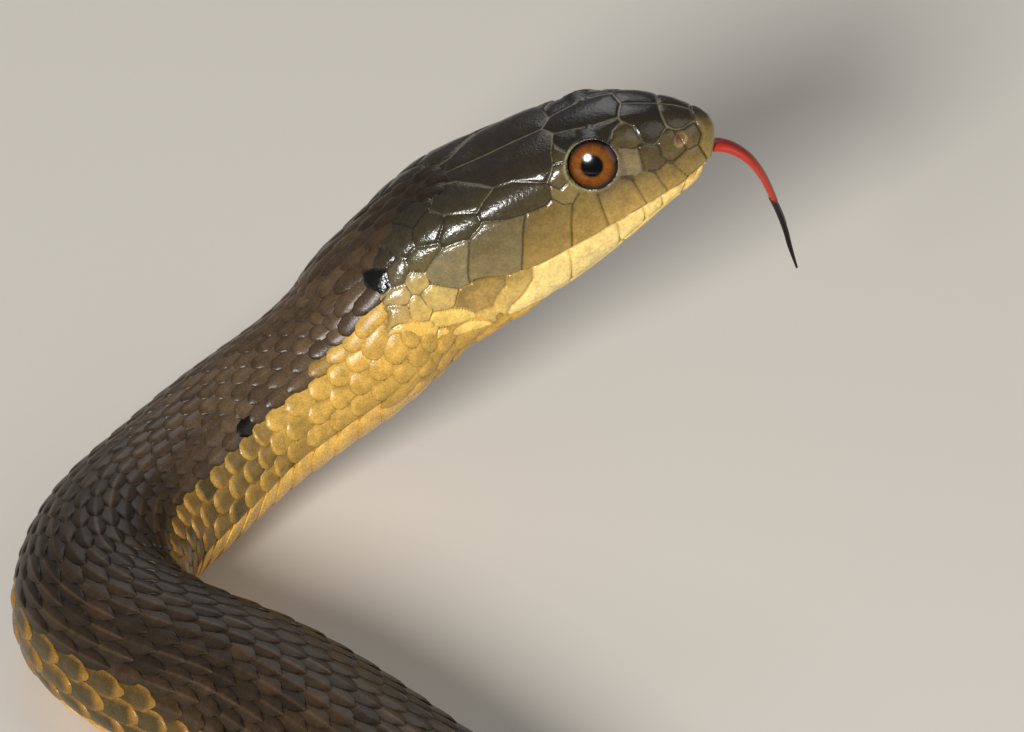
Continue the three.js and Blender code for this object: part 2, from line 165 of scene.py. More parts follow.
BELLY_DEPTH = 0.86   # the belly is flatter than the back
NECK_START = 9.0     # where the head's form goes over to the body's


def follow(rows, x):
    """Smooth curve through rows of position and values: on each span a cubic whose slopes at both
    ends are those between the neighbours of that end. Gives one more axis, for the values."""
    rows = np.asarray(rows, float)
    x = np.asarray(x, float)
    n = len(rows)
    i = np.clip(np.searchsorted(rows[:, 0], x, side="left") - 1, 0, n - 2)
    before = np.maximum(np.arange(n) - 1, 0)
    after = np.minimum(np.arange(n) + 1, n - 1)
    slope = (rows[after, 1:] - rows[before, 1:]) / (rows[after, 0] - rows[before, 0])[:, None]
    width = (rows[i + 1, 0] - rows[i, 0])[..., None]
    t = np.clip((x[..., None] - rows[i, 0][..., None]) / width, 0, 1)
    start, end = (1 + 2 * t) * (1 - t) ** 2, t * t * (3 - 2 * t)
    rise, fall = t * (1 - t) ** 2 * width, t * t * (t - 1) * width
    return start * rows[i, 1:] + end * rows[i + 1, 1:] + rise * slope[i] + fall * slope[i + 1]


def spline(knots, t):
    """Uniform curve through knots: each span is a cubic with half the step between the neighbours as
    slope at each end, and the row of knots goes on straight at both ends."""
    knots = np.vstack([2 * knots[0] - knots[1], knots, 2 * knots[-1] - knots[-2]])
    i = np.clip(np.floor(t).astype(int), 0, len(knots) - 4)
    w = (t - i)[..., None]
    p0, p1, p2, p3 = (knots[i + k] for k in range(4))
    return 0.5 * (2 * p1 + (p2 - p0) * w + (2 * p0 - 5 * p1 + 4 * p2 - p3) * w ** 2
                  + (3 * p1 - p0 - 3 * p2 + p3) * w ** 3)


# Lengths along the axis at many places between its knots, up to the snake's length from inside its head.
knot_places = np.linspace(0, len(AXIS) - 1, 4001)
steps = np.linalg.norm(np.diff(spline(AXIS, knot_places), axis=0), axis=1)
lengths_along = np.concatenate([[0], np.cumsum(steps)])
TOTAL = lengths_along[-1]


def centre_line(s):
    """Middle of the body at length s: the axis, raised by its share of the radius there."""
    s = np.asarray(s, float)
    point = spline(AXIS, np.interp(s, lengths_along, knot_places))
    point[..., 2] += FLOOR_FIT * follow(RADIUS, s)[..., 0]
    return point


def unit(vectors):
    """Vectors made one long."""
    return vectors / np.maximum(np.linalg.norm(vectors, axis=-1, keepdims=True), 1e-12)


def smooth(low, high, x):
    """0 below low, 1 above high, and 3t^2 - 2t^3 between."""
    t = np.clip((x - low) / (high - low), 0, 1)
    return t * t * (3 - 2 * t)


def body_form(s, g):
    """Point on the body at length s and angle pi g from the middle of the back: a circle about the
    centre line in the plane across it, turned by the roll, flattened below and cut off at the floor."""
    s, g = np.broadcast_arrays(np.asarray(s, float), np.asarray(g, float))
    tangent = unit(centre_line(s + 0.5) - centre_line(s - 0.5))
    side = unit(np.cross(np.array([0, 0, 1.0]), tangent))
    up = np.cross(tangent, side)
    roll = np.radians(follow(ROLL, s))
    turned_side = side * np.cos(roll) + np.cross(tangent, side) * np.sin(roll)
    turned_up = up * np.cos(roll) + np.cross(tangent, up) * np.sin(roll)
    radius = follow(RADIUS, s)
    across, above = radius * np.sin(np.pi * g)[..., None], radius * np.cos(np.pi * g)[..., None]
    point = centre_line(s) + turned_side * across + turned_up * above * np.where(above < 0, BELLY_DEPTH, 1)
    point[..., 2] = np.maximum(point[..., 2], 0)
    return point


# The form of the head: sections along its own axis, which points forward and up. Each row has the
# distance forward of the corner of the mouth, then the height of the top, the side and height of the
# edge of the crown, of the cheek, of the lip and of the edge of the throat, and the height of the throat.
HEAD = (
    (-4, 7.0, (5.1, 6.2), (7.5, 2.0), (7.5, -2.0), (5.4, -6.8), -8.4),
    (0, 7.3, (5.3, 6.5), (7.3, 2.9), (6.8, 0), (5.6, -6.3), -7.8),
    (2.8, 7.2, (5.2, 6.4), (7.2, 2.8), (6.5, -1.3), (5.4, -6.2), -7.5),
    (5, 7.0, (5.1, 6.3), (7.0, 2.7), (6.3, -1.9), (5.1, -6.1), -7.3),
    (9, 6.8, (4.6, 6.2), (6.2, 3.2), (5.8, -2.2), (4.6, -5.8), -6.8),
    (12.6, 6.5, (4.5, 5.8), (5.5, 3.6), (5.1, -2.5), (4.0, -5.4), -6.3),
    (15.5, 6.1, (4.1, 5.35), (4.8, 3.3), (4.4, -2.8), (3.4, -5.0), -5.8),
    (18, 5.4, (3.1, 4.8), (4.2, 2.4), (3.8, -3.0), (2.8, -4.7), -5.3),
    (20.5, 3.9, (2.4, 3.4), (3.4, 1.2), (3.0, -3.3), (2.2, -4.5), -4.9),
    (22.3, 2.5, (1.8, 2.0), (2.7, 0.2), (2.2, -3.1), (1.4, -3.8), -4.0),
    (23.2, 1.5, (1.4, 1.1), (2.1, -0.4), (1.7, -2.6), (1.0, -3.1), -3.3),
    (23.9, 0.6, (1.0, 0.4), (1.5, -0.7), (1.2, -2.0), (0.7, -2.4), -2.5),
    (24.4, -0.3, (0.4, -0.4), (0.7, -0.9), (0.5, -1.4), (0.3, -1.6), -1.7))
HEAD_TIP = 24.4
HEAD_YAW, HEAD_PITCH = math.radians(8), math.radians(27.8)
HEAD_ORIGIN = np.array([-4.2, -16.6, 24.8])
AHEAD = np.array([math.cos(HEAD_YAW) * math.cos(HEAD_PITCH), math.sin(HEAD_YAW) * math.cos(HEAD_PITCH),
                  math.sin(HEAD_PITCH)])
RIGHT = np.array([math.sin(HEAD_YAW), -math.cos(HEAD_YAW), 0.0])
UPWARD = np.cross(RIGHT, AHEAD)
HEAD_AXES = np.array([AHEAD, RIGHT, UPWARD])


def from_head(local):
    """Points given as forward, right and up of the head's origin."""
    return HEAD_ORIGIN + np.asarray(local, float) @ HEAD_AXES


def to_head(points):
    """Points as forward, right and up of the head's origin."""
    return (points - HEAD_ORIGIN) @ HEAD_AXES.T


neck_ring = to_head(body_form(NECK_START, np.linspace(0, 1, 6))).ravel()
head_rows = np.array([[-NECK_START, *neck_ring]] + [
    [a, a, 0, top, a, *crown, a, *cheek, a, *lip, a, *throat, a, 0, low]
    for a, top, crown, cheek, lip, throat, low in HEAD])


def head_local(a, g):
    """Point of the head in its own frame: six points of a section, and the same four mirrored, joined
    by a closed smooth curve, with g the way round from the top, 1 at the throat."""
    a, g = np.broadcast_arrays(np.asarray(a, float), np.asarray(g, float))
    half = follow(head_rows, a).reshape(*a.shape, 6, 3)
    mirrored = half[..., 4:0:-1, :] * np.array([1, -1, 1])
    ring = np.concatenate([half, mirrored], axis=-2)
    place = (g % 2) * 5
    i = np.floor(place).astype(int)
    w = (place - i)[..., None]
    p0, p1, p2, p3 = (np.take_along_axis(ring, ((i + k) % 10)[..., None, None], -2)[..., 0, :]
                      for k in (-1, 0, 1, 2))
    return 0.5 * (2 * p1 + (p2 - p0) * w + (2 * p0 - 5 * p1 + 4 * p2 - p3) * w ** 2
                  + (3 * p1 - p0 - 3 * p2 + p3) * w ** 3)


def form(s, g):
    """Point on the whole snake. From the neck back it is the body's form. Forward of that s is minus
    the distance forward on the head, and a part of the step between both forms is added near the neck."""
    s, g = np.broadcast_arrays(np.asarray(s, float), np.asarray(g, float))
    point = np.empty(s.shape + (3,))
    rear = s >= NECK_START
    point[rear] = body_form(s[rear], g[rear])
    front_g = g[~rear]
    step = body_form(NECK_START, front_g) - from_head(head_local(-NECK_START, front_g))
    share = smooth(-2.0, NECK_START, s[~rear])[..., None]
    point[~rear] = from_head(head_local(-s[~rear], front_g)) + step * share
    return point


LITTLE_S, LITTLE_G = 0.1, 0.004     # steps over which a slope of the form is taken


def lifted(s, g, height):
    """Point at a height over the form, along its outward normal, and never below the floor."""
    s, g = np.broadcast_arrays(np.asarray(s, float), np.asarray(g, float))
    rearward = np.minimum(s + LITTLE_S, TOTAL)
    rearward = np.where((s > NECK_START - LITTLE_S) & (s < NECK_START), NECK_START, rearward)
    along = form(rearward, g) - form(s - LITTLE_S, g)
    round_ = form(s, g + LITTLE_G) - form(s, g - LITTLE_G)
    point = form(s, g) + unit(np.cross(along, round_)) * np.asarray(height)[..., None]
    point[..., 2] = np.maximum(point[..., 2], 0)
    return point

# Head shields: thin horny plates that meet at narrow grooves, as outlines of distance forward and of
# g on the right side, mirrored on the left. With each go the colours of its upper and lower edge; those
# of nape_5, lip_7 and lip_8 are paler than the shields' own colour, partly painted highlight.
MOUTH = ((0.0, 0.6), (22.3, 0.62), (22.8, 0.74), (23.2, 0.9), (23.35, 1.0))
SHIELDS = {
    "frontal": ("#1c1914", "#211d16", (
        (18.4, 0), (17.8, 0.11), (16, 0.095), (13.6, 0.065), (12.2, 0.05), (11.3, 0), (11.3, -0.02),
        (12.2, -0.05), (13.6, -0.065), (16, -0.095), (17.8, -0.11), (18.4, -0.02))),
    "supraocular": ("#1c1914", "#241f16", (
        (12.1, 0.06), (14.5, 0.085), (17.9, 0.125), (18, 0.155), (16.9, 0.2), (14, 0.195), (12.9, 0.185),
        (12.4, 0.15), (11.8, 0.1))),
    "parietal": ("#241f18", "#30281c", (
        (11.2, 0.0), (12.0, 0.05), (11.6, 0.14), (11.1, 0.22), (10.7, 0.265), (10.0, 0.305), (9.0, 0.262),
        (7.4, 0.205), (5.6, 0.18), (4.5, 0.13), (2.6, 0.07), (1.8, 0.03), (1.8, 0.0))),
    "prefrontal": ("#16120d", "#2e2716", (
        (18.6, 0.0), (21.2, 0.0), (21.2, 0.24), (20.4, 0.34), (19.3, 0.36), (18.8, 0.21), (18.1, 0.14))),
    "internasal": ("#1f1910", "#342b18", (
        (21.4, 0.0), (23.4, 0.0), (23.4, 0.22), (22.4, 0.28), (21.4, 0.24))),
    "nasal_front": ("#44381e", "#5b4b28", (
        (22.6, 0.31), (23.4, 0.24), (23.5, 0.4), (22.8, 0.46), (22.0, 0.46), (21.9, 0.36))),
    "nasal_rear": ("#3f341d", "#574828", (
        (21.3, 0.3), (21.7, 0.36), (21.6, 0.44), (21.1, 0.46), (20.3, 0.48), (19.8, 0.45), (20.5, 0.36))),
    "loreal": ("#43381f", "#54462a", (
        (19.2, 0.38), (19.8, 0.41), (19.5, 0.46), (18.7, 0.49), (18, 0.47), (18.6, 0.39))),
    "preocular": ("#342b1a", "#4b3f22", (
        (17.2, 0.2), (18.2, 0.165), (18.9, 0.22), (18.6, 0.33), (17.9, 0.36), (17.3, 0.33))),
    "preocular_low": ("#66563a", "#7d6c4c", (
        (17.2, 0.36), (18.1, 0.39), (17.7, 0.46), (16.9, 0.47), (16.6, 0.42))),
    "postocular_top": ("#2b2619", "#453d22", (
        (11.8, 0.1), (12.4, 0.15), (12.9, 0.185), (12.3, 0.24), (11.4, 0.225), (11.4, 0.15))),
    "postocular_mid": ("#463b25", "#5f5034", (
        (11.4, 0.225), (12.3, 0.24), (12.1, 0.3), (11.7, 0.38), (10.7, 0.385), (10.05, 0.315),
        (10.8, 0.265))),
    "postocular_low": ("#655431", "#7d6a3c", (
        (10.05, 0.315), (10.7, 0.385), (11.7, 0.38), (12.3, 0.44), (11.1, 0.462), (10.3, 0.445),
        (9.7, 0.39))),
    "temporal_front": ("#2e271c", "#433924", (
        (3.2, 0.27), (4.1, 0.22), (5.6, 0.18), (7.4, 0.205), (9.0, 0.262), (10.05, 0.31), (10.1, 0.34),
        (9.7, 0.39), (9.0, 0.4), (6.1, 0.345), (3.7, 0.295))),
    "temporal_rear": ("#29241a", "#352f1f", (
        (-0.6, 0.13), (0.1, 0.1), (1.4, 0.08), (2.6, 0.07), (4.5, 0.13), (5.6, 0.18), (4.1, 0.22),
        (3.1, 0.24), (0.6, 0.19))),
    "temporal_low": ("#302a1c", "#3f3822", (
        (-1, 0.28), (-0.5, 0.25), (0.1, 0.23), (0.6, 0.19), (3.1, 0.24), (3.2, 0.27), (3.1, 0.3),
        (1.6, 0.325), (-0.6, 0.305))),
    "nape_1": ("#2f291c", "#3b3422", (
        (-3, 0.21), (-2.5, 0.18), (-1.6, 0.15), (-0.6, 0.13), (0.6, 0.19), (0.1, 0.23), (-0.9, 0.28),
        (-2.2, 0.265), (-3, 0.24))),
    "nape_2": ("#282318", "#302a1d", (
        (-3.7, 0.1), (-3.1, 0.07), (-1.8, 0.06), (0.1, 0.1), (-0.6, 0.13), (-1.6, 0.15), (-2.5, 0.18),
        (-3.4, 0.13))),
    "nape_3": ("#2d281c", "#3a3323", (
        (-5.2, 0.16), (-4.8, 0.13), (-3.5, 0.125), (-2.5, 0.18), (-3, 0.22), (-3.1, 0.25), (-4.1, 0.255),
        (-4.9, 0.235), (-5.3, 0.2))),
    "nape_4": ("#453d26", "#5f5430", (
        (-4.4, 0.285), (-3.9, 0.26), (-2.6, 0.255), (-0.9, 0.285), (-0.9, 0.305), (-2, 0.32), (-3.2, 0.345),
        (-4.2, 0.32))),
    # Partly painted highlight: nape_5 is paler than its own colour, standing in for a highlight on it.
    "nape_5": ("#8d7a4c", "#b29757", (
        (-5.3, 0.325), (-4.7, 0.31), (-4.2, 0.32), (-3.3, 0.35), (-3.4, 0.385), (-4.0, 0.395),
        (-4.8, 0.385), (-5.5, 0.35))),
    "nape_6": ("#40392a", "#5a5033", (
        (-6.2, 0.25), (-5.4, 0.235), (-4.6, 0.25), (-4.4, 0.285), (-4.7, 0.31), (-5.4, 0.32), (-6.2, 0.315),
        (-6.7, 0.285))),
    "nape_7": ("#ad9455", "#c7a35e", (
        (-4.8, 0.41), (-4, 0.395), (-2.8, 0.42), (-1.9, 0.5), (-1.9, 0.58), (-2.6, 0.6), (-3.8, 0.53),
        (-4.7, 0.465))),
    "nape_8": ("#8f7a4a", "#b0935a", (
        (-7.3, 0.315), (-6.4, 0.315), (-5.5, 0.335), (-5.5, 0.365), (-6.2, 0.385), (-7, 0.37),
        (-7.5, 0.34))),
    "nape_9": ("#a88c50", "#c7a45a", (
        (-6.4, 0.405), (-5.8, 0.385), (-4.9, 0.4), (-4.7, 0.45), (-4.6, 0.49), (-5.3, 0.5), (-6.4, 0.465),
        (-6.9, 0.42))),
    "nape_10": ("#96804a", "#bb9a55", (
        (-8.1, 0.36), (-7.2, 0.36), (-6.4, 0.39), (-6.5, 0.42), (-7.2, 0.44), (-8.2, 0.41), (-8.6, 0.38))),
    "nape_black": ("#0b0a09", "#0e0c0a", (
        (-8.4, 0.21), (-7.6, 0.195), (-6.8, 0.215), (-6.2, 0.255), (-6.6, 0.285), (-7, 0.3), (-7.9, 0.29),
        (-8.4, 0.26))),
    "nape_11": ("#292318", "#352e20", (
        (-7.3, 0.175), (-6.3, 0.16), (-5.4, 0.18), (-5.0, 0.23), (-5.6, 0.24), (-6.5, 0.23),
        (-7.2, 0.205))),
    "gular_1": ("#dcb65a", "#e6c064", (
        (-5.2, 0.51), (-4.5, 0.5), (-2.7, 0.605), (-1.6, 0.67), (-1.6, 0.705), (-3.4, 0.66), (-5.1, 0.57))),
    "gular_2": ("#d2a64e", "#e0b65a", (
        (-8.4, 0.42), (-7.8, 0.42), (-6.3, 0.475), (-5.1, 0.55), (-5.3, 0.59), (-7.4, 0.52), (-8.8, 0.46))),
    "gular_3": ("#dcb45a", "#e6c066", (
        (-5.6, 0.59), (-4.7, 0.605), (-3.4, 0.665), (-1.6, 0.71), (-1.1, 0.745), (-1.9, 0.755), (-4, 0.7),
        (-5.3, 0.635))),
    # Partly painted highlight: lip_8 and lip_7 are paler than their own colour, standing in for highlights on
    # them.
    "lip_8": ("#6b6043", "#8e7d55", (
        (-3.2, 0.345), (-2.1, 0.325), (-0.6, 0.31), (1.6, 0.33), (0.6, 0.42), (-0.3, 0.57), (-0.5, 0.6),
        (-1.9, 0.5), (-2.8, 0.42), (-3.3, 0.38))),
    "lip_7": ("#554b33", "#847247", (
        (1.6, 0.33), (3.1, 0.3), (3.7, 0.295), (5.9, 0.345), (7.0, 0.37), (6, 0.43), (4.7, 0.53),
        (3.9, 0.6), (-0.4, 0.6), (-0.3, 0.57), (0.6, 0.42))),
    "lip_6": ("#554528", "#987b3c", (
        (7.0, 0.37), (9.0, 0.4), (9.7, 0.395), (10.3, 0.447), (11, 0.463), (9.9, 0.52), (8.8, 0.6),
        (3.9, 0.6), (4.7, 0.53), (6, 0.43))),
    "lip_5": ("#6a582d", "#9c7c3b", (
        (11, 0.463), (12.3, 0.445), (13.2, 0.49), (12.9, 0.53), (12.5, 0.6), (8.8, 0.6), (9.9, 0.52))),
    "lip_4": ("#6e5b30", "#ac8946", ((16.3, 0.6), (16.4, 0.5), (13.2, 0.49), (12.9, 0.53), (12.5, 0.6))),
    "lip_3": ("#715d33", "#a98945", ((18.4, 0.6), (18.4, 0.505), (16.4, 0.5), (16.3, 0.6))),
    "lip_2": ("#6a562d", "#9f8140", ((20.6, 0.6), (20.1, 0.5), (18.4, 0.505), (18.4, 0.6))),
    "lip_1": ("#66532c", "#94783f", ((22.6, 0.63), (22.7, 0.48), (20.1, 0.5), (20.6, 0.6))),
    "rostral": ("#241e12", "#a98c46", (
        (23.6, 0.0), (23.7, 0.22), (23.5, 0.42), (22.9, 0.5), (22.7, 0.63), (22.8, 0.74), (23.2, 0.9),
        (23.35, 1.0), (24.6, 1.0), (24.6, 0.0))),
    "mental": ("#d8b457", "#e6c569", (
        (22.3, 0.63), (22.8, 0.75), (23.2, 0.91), (23.3, 1.0), (22.2, 1.0), (22.0, 0.8))),
    "under_1": ("#d0ae62", "#dcbe74", (
        (22.2, 0.62), (20.4, 0.6), (19.4, 0.72), (19.3, 0.9), (21.9, 0.99), (21.9, 0.8))),
    "under_2": ("#d3b166", "#dfc279", ((20.4, 0.6), (17.8, 0.6), (17.3, 0.72), (19.4, 0.72))),
    "under_3": ("#d6b469", "#e0c47b", ((17.8, 0.6), (16.0, 0.6), (15.3, 0.73), (17.3, 0.72))),
    "under_4": ("#d9b76d", "#e1c67e", ((16.0, 0.6), (13.3, 0.6), (12.5, 0.75), (15.3, 0.73))),
    "under_5": ("#dab96f", "#e2c880", (
        (13.3, 0.6), (8.5, 0.6), (8.0, 0.67), (7.1, 0.775), (9.2, 0.79), (12.5, 0.75))),
    "under_6": ("#dab96f", "#e2c77e", (
        (8.5, 0.6), (5.0, 0.6), (4.4, 0.655), (3.1, 0.7), (1.2, 0.738), (1.5, 0.775), (4.3, 0.77),
        (7.1, 0.775), (8.0, 0.67))),
    "under_7": ("#9c8044", "#d0ac5c", (
        (5.0, 0.6), (2.7, 0.6), (2.1, 0.65), (0, 0.71), (-1.4, 0.695), (-1.6, 0.705), (-0.6, 0.742),
        (1.2, 0.738), (3.1, 0.7), (4.4, 0.655))),
    "under_8": ("#7d6636", "#b08c48", (
        (2.7, 0.6), (-0.5, 0.6), (-1.9, 0.585), (-2.7, 0.605), (-1.6, 0.68), (0, 0.71), (2.1, 0.65))),
    "chin_front": ("#e2c068", "#ecd07c", (
        (19.1, 0.92), (19.1, 0.74), (15.3, 0.75), (12.9, 0.78), (12.7, 0.93), (13.2, 1.0), (20.6, 1.0))),
    "chin_rear": ("#e2c068", "#ecd07c", (
        (12.6, 0.94), (12.6, 0.79), (8.6, 0.79), (6.0, 0.82), (6.2, 0.93), (8.0, 1.0), (12.9, 1.0))),
}
NAMES = list(SHIELDS)
GROOVE = 0.16          # half the width of a groove between two shields, in millimetres
SHIELD_RISE = 0.2      # height of a shield over the bottom of its grooves
SHIELD_SWELL = 0.16    # how far the middle of a shield swells over its edge
SKIN_DEPTH = 0.35      # how far the skin lies inside the form where scales cover it

# The skin of the head as a grid: rows along the head, closer together at the snout, and columns round
# it, closer together near the mouth.
HEAD_COLUMNS, HEAD_ROWS = 352, 248


def spread(low, high, count, density):
    """Places between low and high whose spacing goes as one over density at each place."""
    fine = np.linspace(low, high, 4000)
    total = np.concatenate([[0], np.cumsum((density(fine[1:]) + density(fine[:-1])) / 2)])
    return np.interp(np.linspace(0, total[-1], count), total, fine)


half_g = spread(0, 1, HEAD_COLUMNS // 2 + 1, lambda g: 1 + 1.3 * np.exp(-((g - 0.6) / 0.05) ** 2))
head_a = spread(-NECK_START, HEAD_TIP, HEAD_ROWS,
                lambda a: 0.55 + 0.45 * smooth(-4, 0, a) + smooth(21, 24, a))
A, G = np.meshgrid(head_a, half_g, indexing="ij")

# Millimetres round the head from the top, for each row, so that an outline keeps its shape.
ring_points = head_local(A, G)
ring_steps = np.linalg.norm(np.diff(ring_points, axis=1), axis=2)
ROUND = np.concatenate([np.zeros((HEAD_ROWS, 1)), np.cumsum(ring_steps, axis=1)], axis=1)


def round_at(a, g):
    """Millimetres round the head at a and g, read from the grid by lines between its points."""
    a, g = np.broadcast_arrays(np.asarray(a, float), np.asarray(g, float))
    row = np.interp(a, head_a, np.arange(HEAD_ROWS))
    i = np.clip(np.floor(row).astype(int), 0, HEAD_ROWS - 2)
    col = np.interp(np.abs(g), half_g, np.arange(len(half_g)))
    j = np.clip(np.floor(col).astype(int), 0, len(half_g) - 2)
    w, v = row - i, col - j
    found = (ROUND[i, j] * (1 - w) + ROUND[i + 1, j] * w) * (1 - v) + (
        ROUND[i, j + 1] * (1 - w) + ROUND[i + 1, j + 1] * w) * v
    return np.sign(g) * found


def inside_by(x, y, corners):
    """Distance of points from the edge of a polygon, positive inside: the least distance to its sides,
    with the sign from how often a ray to the right crosses them."""
    px, py = np.array(corners, float).T
    qx, qy = np.roll(px, -1), np.roll(py, -1)
    least = np.full(x.shape, 1e9)
    crossed = np.zeros(x.shape, bool)
    for ax, ay, bx, by in zip(px, py, qx, qy):
        dx, dy = bx - ax, by - ay
        t = np.clip(((x - ax) * dx + (y - ay) * dy) / max(dx * dx + dy * dy, 1e-9), 0, 1)
        least = np.minimum(least, np.hypot(x - ax - t * dx, y - ay - t * dy))
        if ay != by:
            crossed ^= ((ay > y) != (by > y)) & (x < dx * (y - ay) / (by - ay) + ax)
    return np.where(crossed, least, -least)


def rounded(corners, closed=True, soft=False):
    """Corners in millimetres forward and round the head, with each side cut into eight, as a side that
    is straight in g isn't straight round the head. If soft, the corners are cut off twice instead, at
    a quarter of each side."""
    corners = np.array(corners, float)
    if soft:
        for _ in range(2):
            ahead = np.roll(corners, -1, axis=0)
            cuts = [0.75 * corners + 0.25 * ahead, 0.25 * corners + 0.75 * ahead]
            corners = np.stack(cuts, axis=1).reshape(-1, 2)
        return np.stack([corners[:, 0], round_at(*corners.T)], axis=1)
    ends = np.roll(corners, -1, axis=0) if closed else corners[1:]
    starts = corners if closed else corners[:-1]
    share = np.arange(8)[:, None, None] / 8
    fine = (starts * (1 - share) + ends * share).transpose(1, 0, 2).reshape(-1, 2)
    fine = fine if closed else np.vstack([fine, corners[-1]])
    return np.stack([fine[:, 0], round_at(*fine.T)], axis=1)


def shield_depths(a, g):
    """Distance inside each shield's outline, one layer for each shield, in millimetres."""
    y = round_at(a, g)
    return np.array([inside_by(a, y, rounded(corners, soft=name.startswith(("nape", "gular"))))
                     for name, (_, _, corners) in SHIELDS.items()])


def meeting(depths, a, g):
    """The distances inside the two nearest shields, and a share that is 1 where two shields lie close
    together and all over the face, so that no bare skin shows between them there."""
    ordered = np.sort(depths, axis=0)
    inner, second = ordered[-1], ordered[-2]
    between_two = smooth(-1.1, -0.8, second) * smooth(-0.9, -0.7, inner)
    return inner, second, np.maximum(between_two, smooth(2.0, 3.2, a - 6 * smooth(0.76, 0.84, np.abs(g))))


depths = shield_depths(A, G)
# Between the black shield and its neighbours the skin has the neighbours' colour, because the distance
# outside the black one counts several times.
BLACK_FALL = 4
drawn = depths.copy()
black_shield = drawn[NAMES.index("nape_black")]
black_shield[black_shield < 0] *= BLACK_FALL
first = drawn.argmax(axis=0)
inner, second, closed = meeting(depths, A, G)
# Half the difference between the two deepest is the distance to the line where two shields meet.
from_edge = np.minimum((inner - second) / 2, inner + 0.1 + 10 * closed)
# Shields in pairs meet their mirror image along the middle of the head.
PAIRS = ("parietal", "prefrontal", "internasal", "chin_front", "chin_rear")
in_pair = np.isin(first, [NAMES.index(name) for name in PAIRS])
from_edge = np.where(in_pair, np.minimum(from_edge, np.minimum(ROUND, ROUND[:, -1:] - ROUND)), from_edge)
on_shields = np.maximum(smooth(-0.45, 0.25, inner), closed)

# The skin: one closed surface over head, neck, body and tail, soft and a little greasy in its gloss.
# On the head it is shaped into the shields, the lips, the nostrils and the sockets of the eyes.
# The middle of an eye and of a nostril is given by its distance forward, outward and upward on the head.
# An eye is a ball flattened to a depth, and the skin closes over it up to an opening of a given radius.
EYE = {"a": 14.2, "l": 4.5, "u": 3.75, "radius": 2.38, "depth": 1.0}
EYE_TILT = math.radians(25)     # the eye looks outward and a little up
EYE_OPENING = 2.18
NOSTRIL = {"a": 21.7, "u": 0.6, "radius": 0.52, "depth": 0.4}
MOUTH_DEPTH, MOUTH_WIDTH = 0.55, 0.13
UPPER_LIP, LOWER_LIP = 0.14, -0.16      # how far each lip stands out near the mouth
SOCKET_RIM, RIM_FALL = 0.42, 1.8        # how far the socket's rim stands out, and how steeply it falls
SOCKET_FLOOR = 0.35                     # how far the skin lies behind the eye's face

shield_rise = SHIELD_RISE * (0.45 + 0.55 * smooth(0.16, 0.3, G))
swell = SHIELD_SWELL * (1 - np.exp(-from_edge / 0.9))
height = shield_rise * (smooth(0, GROOVE, from_edge) - 1) + swell - 0.05
height = -SKIN_DEPTH + (height + SKIN_DEPTH) * on_shields

# Distance below the line of the mouth along the skin, negative above it.
mouth_a, mouth_g = np.array(MOUTH).T
mouth = rounded(MOUTH, closed=False)
below_mouth = np.full(A.shape, 1e9)
for (ax, ay), (bx, by) in zip(mouth, mouth[1:]):
    t = np.clip(((A - ax) * (bx - ax) + (ROUND - ay) * (by - ay)) / ((bx - ax) ** 2 + (by - ay) ** 2), 0, 1)
    below_mouth = np.minimum(below_mouth, np.hypot(A - ax - t * (bx - ax), ROUND - ay - t * (by - ay)))
is_above = (G < np.interp(A, mouth_a, mouth_g)) | (A > mouth_a[-1])
below_mouth = np.where(is_above, -below_mouth, below_mouth)
height -= MOUTH_DEPTH * np.exp(-(below_mouth / MOUTH_WIDTH) ** 2)
height += np.where(is_above, UPPER_LIP, LOWER_LIP) * np.exp(-(below_mouth / 0.8) ** 2) * smooth(-1, 2, A)

closed_g = np.concatenate([half_g, 2 - half_g[-2:0:-1]])


def both_sides(values):
    """The values of the right half of the head's grid, and mirrored for the left half."""
    return np.concatenate([values, values[:, -2:0:-1]], axis=1)


S_full, G_full = np.meshgrid(-head_a, closed_g, indexing="ij")
head_skin = to_head(lifted(S_full, G_full, both_sides(height)))
right_of = np.sign(head_skin[..., 1])


def seen_by_eye(local):
    """Points in the head's frame as distance forward, outward and upward of the middle of the eye on
    their own side, along the tilted axis of that eye."""
    out, up = np.abs(local[..., 1]) - EYE["l"], local[..., 2] - EYE["u"]
    cos, sin = math.cos(EYE_TILT), math.sin(EYE_TILT)
    return local[..., 0] - EYE["a"], out * cos + up * sin, up * cos - out * sin


def from_eye_frame(ahead, outward, upward, side):
    """The reverse of seen_by_eye, with the side as 1 for the right eye and -1 for the left one."""
    cos, sin = math.cos(EYE_TILT), math.sin(EYE_TILT)
    return np.stack([EYE["a"] + ahead, side * (EYE["l"] + outward * cos - upward * sin),
                     EYE["u"] + outward * sin + upward * cos], axis=-1)


eye_ahead, eye_out, eye_up = seen_by_eye(head_skin)
from_eye = np.hypot(eye_ahead, eye_up)
near_eye = (np.abs(head_skin[..., 1]) > 2.0) & (from_eye < 4.5) & (eye_out > -2.5)
eye_face = EYE["depth"] * np.sqrt(np.clip(1 - (from_eye / EYE["radius"]) ** 2, 0, 1))
brow = np.maximum(eye_out, SOCKET_RIM - RIM_FALL * np.maximum(from_eye - EYE_OPENING - 0.15, 0))
socket = 1 - smooth(EYE_OPENING - 0.02, EYE_OPENING + 0.14, from_eye)
outward = brow * (1 - socket) + (eye_face - SOCKET_FLOOR) * socket
shaped = from_eye_frame(eye_ahead, outward, eye_up, right_of)
head_skin = np.where(near_eye[..., None], shaped, head_skin)
from_nostril = np.hypot(head_skin[..., 0] - NOSTRIL["a"], head_skin[..., 2] - NOSTRIL["u"])
pit = np.exp(-(from_nostril / NOSTRIL["radius"]) ** 4) * (np.abs(head_skin[..., 1]) > 1.2)
head_skin[..., 1] -= right_of * pit * NOSTRIL["depth"]
head_skin = from_head(head_skin)

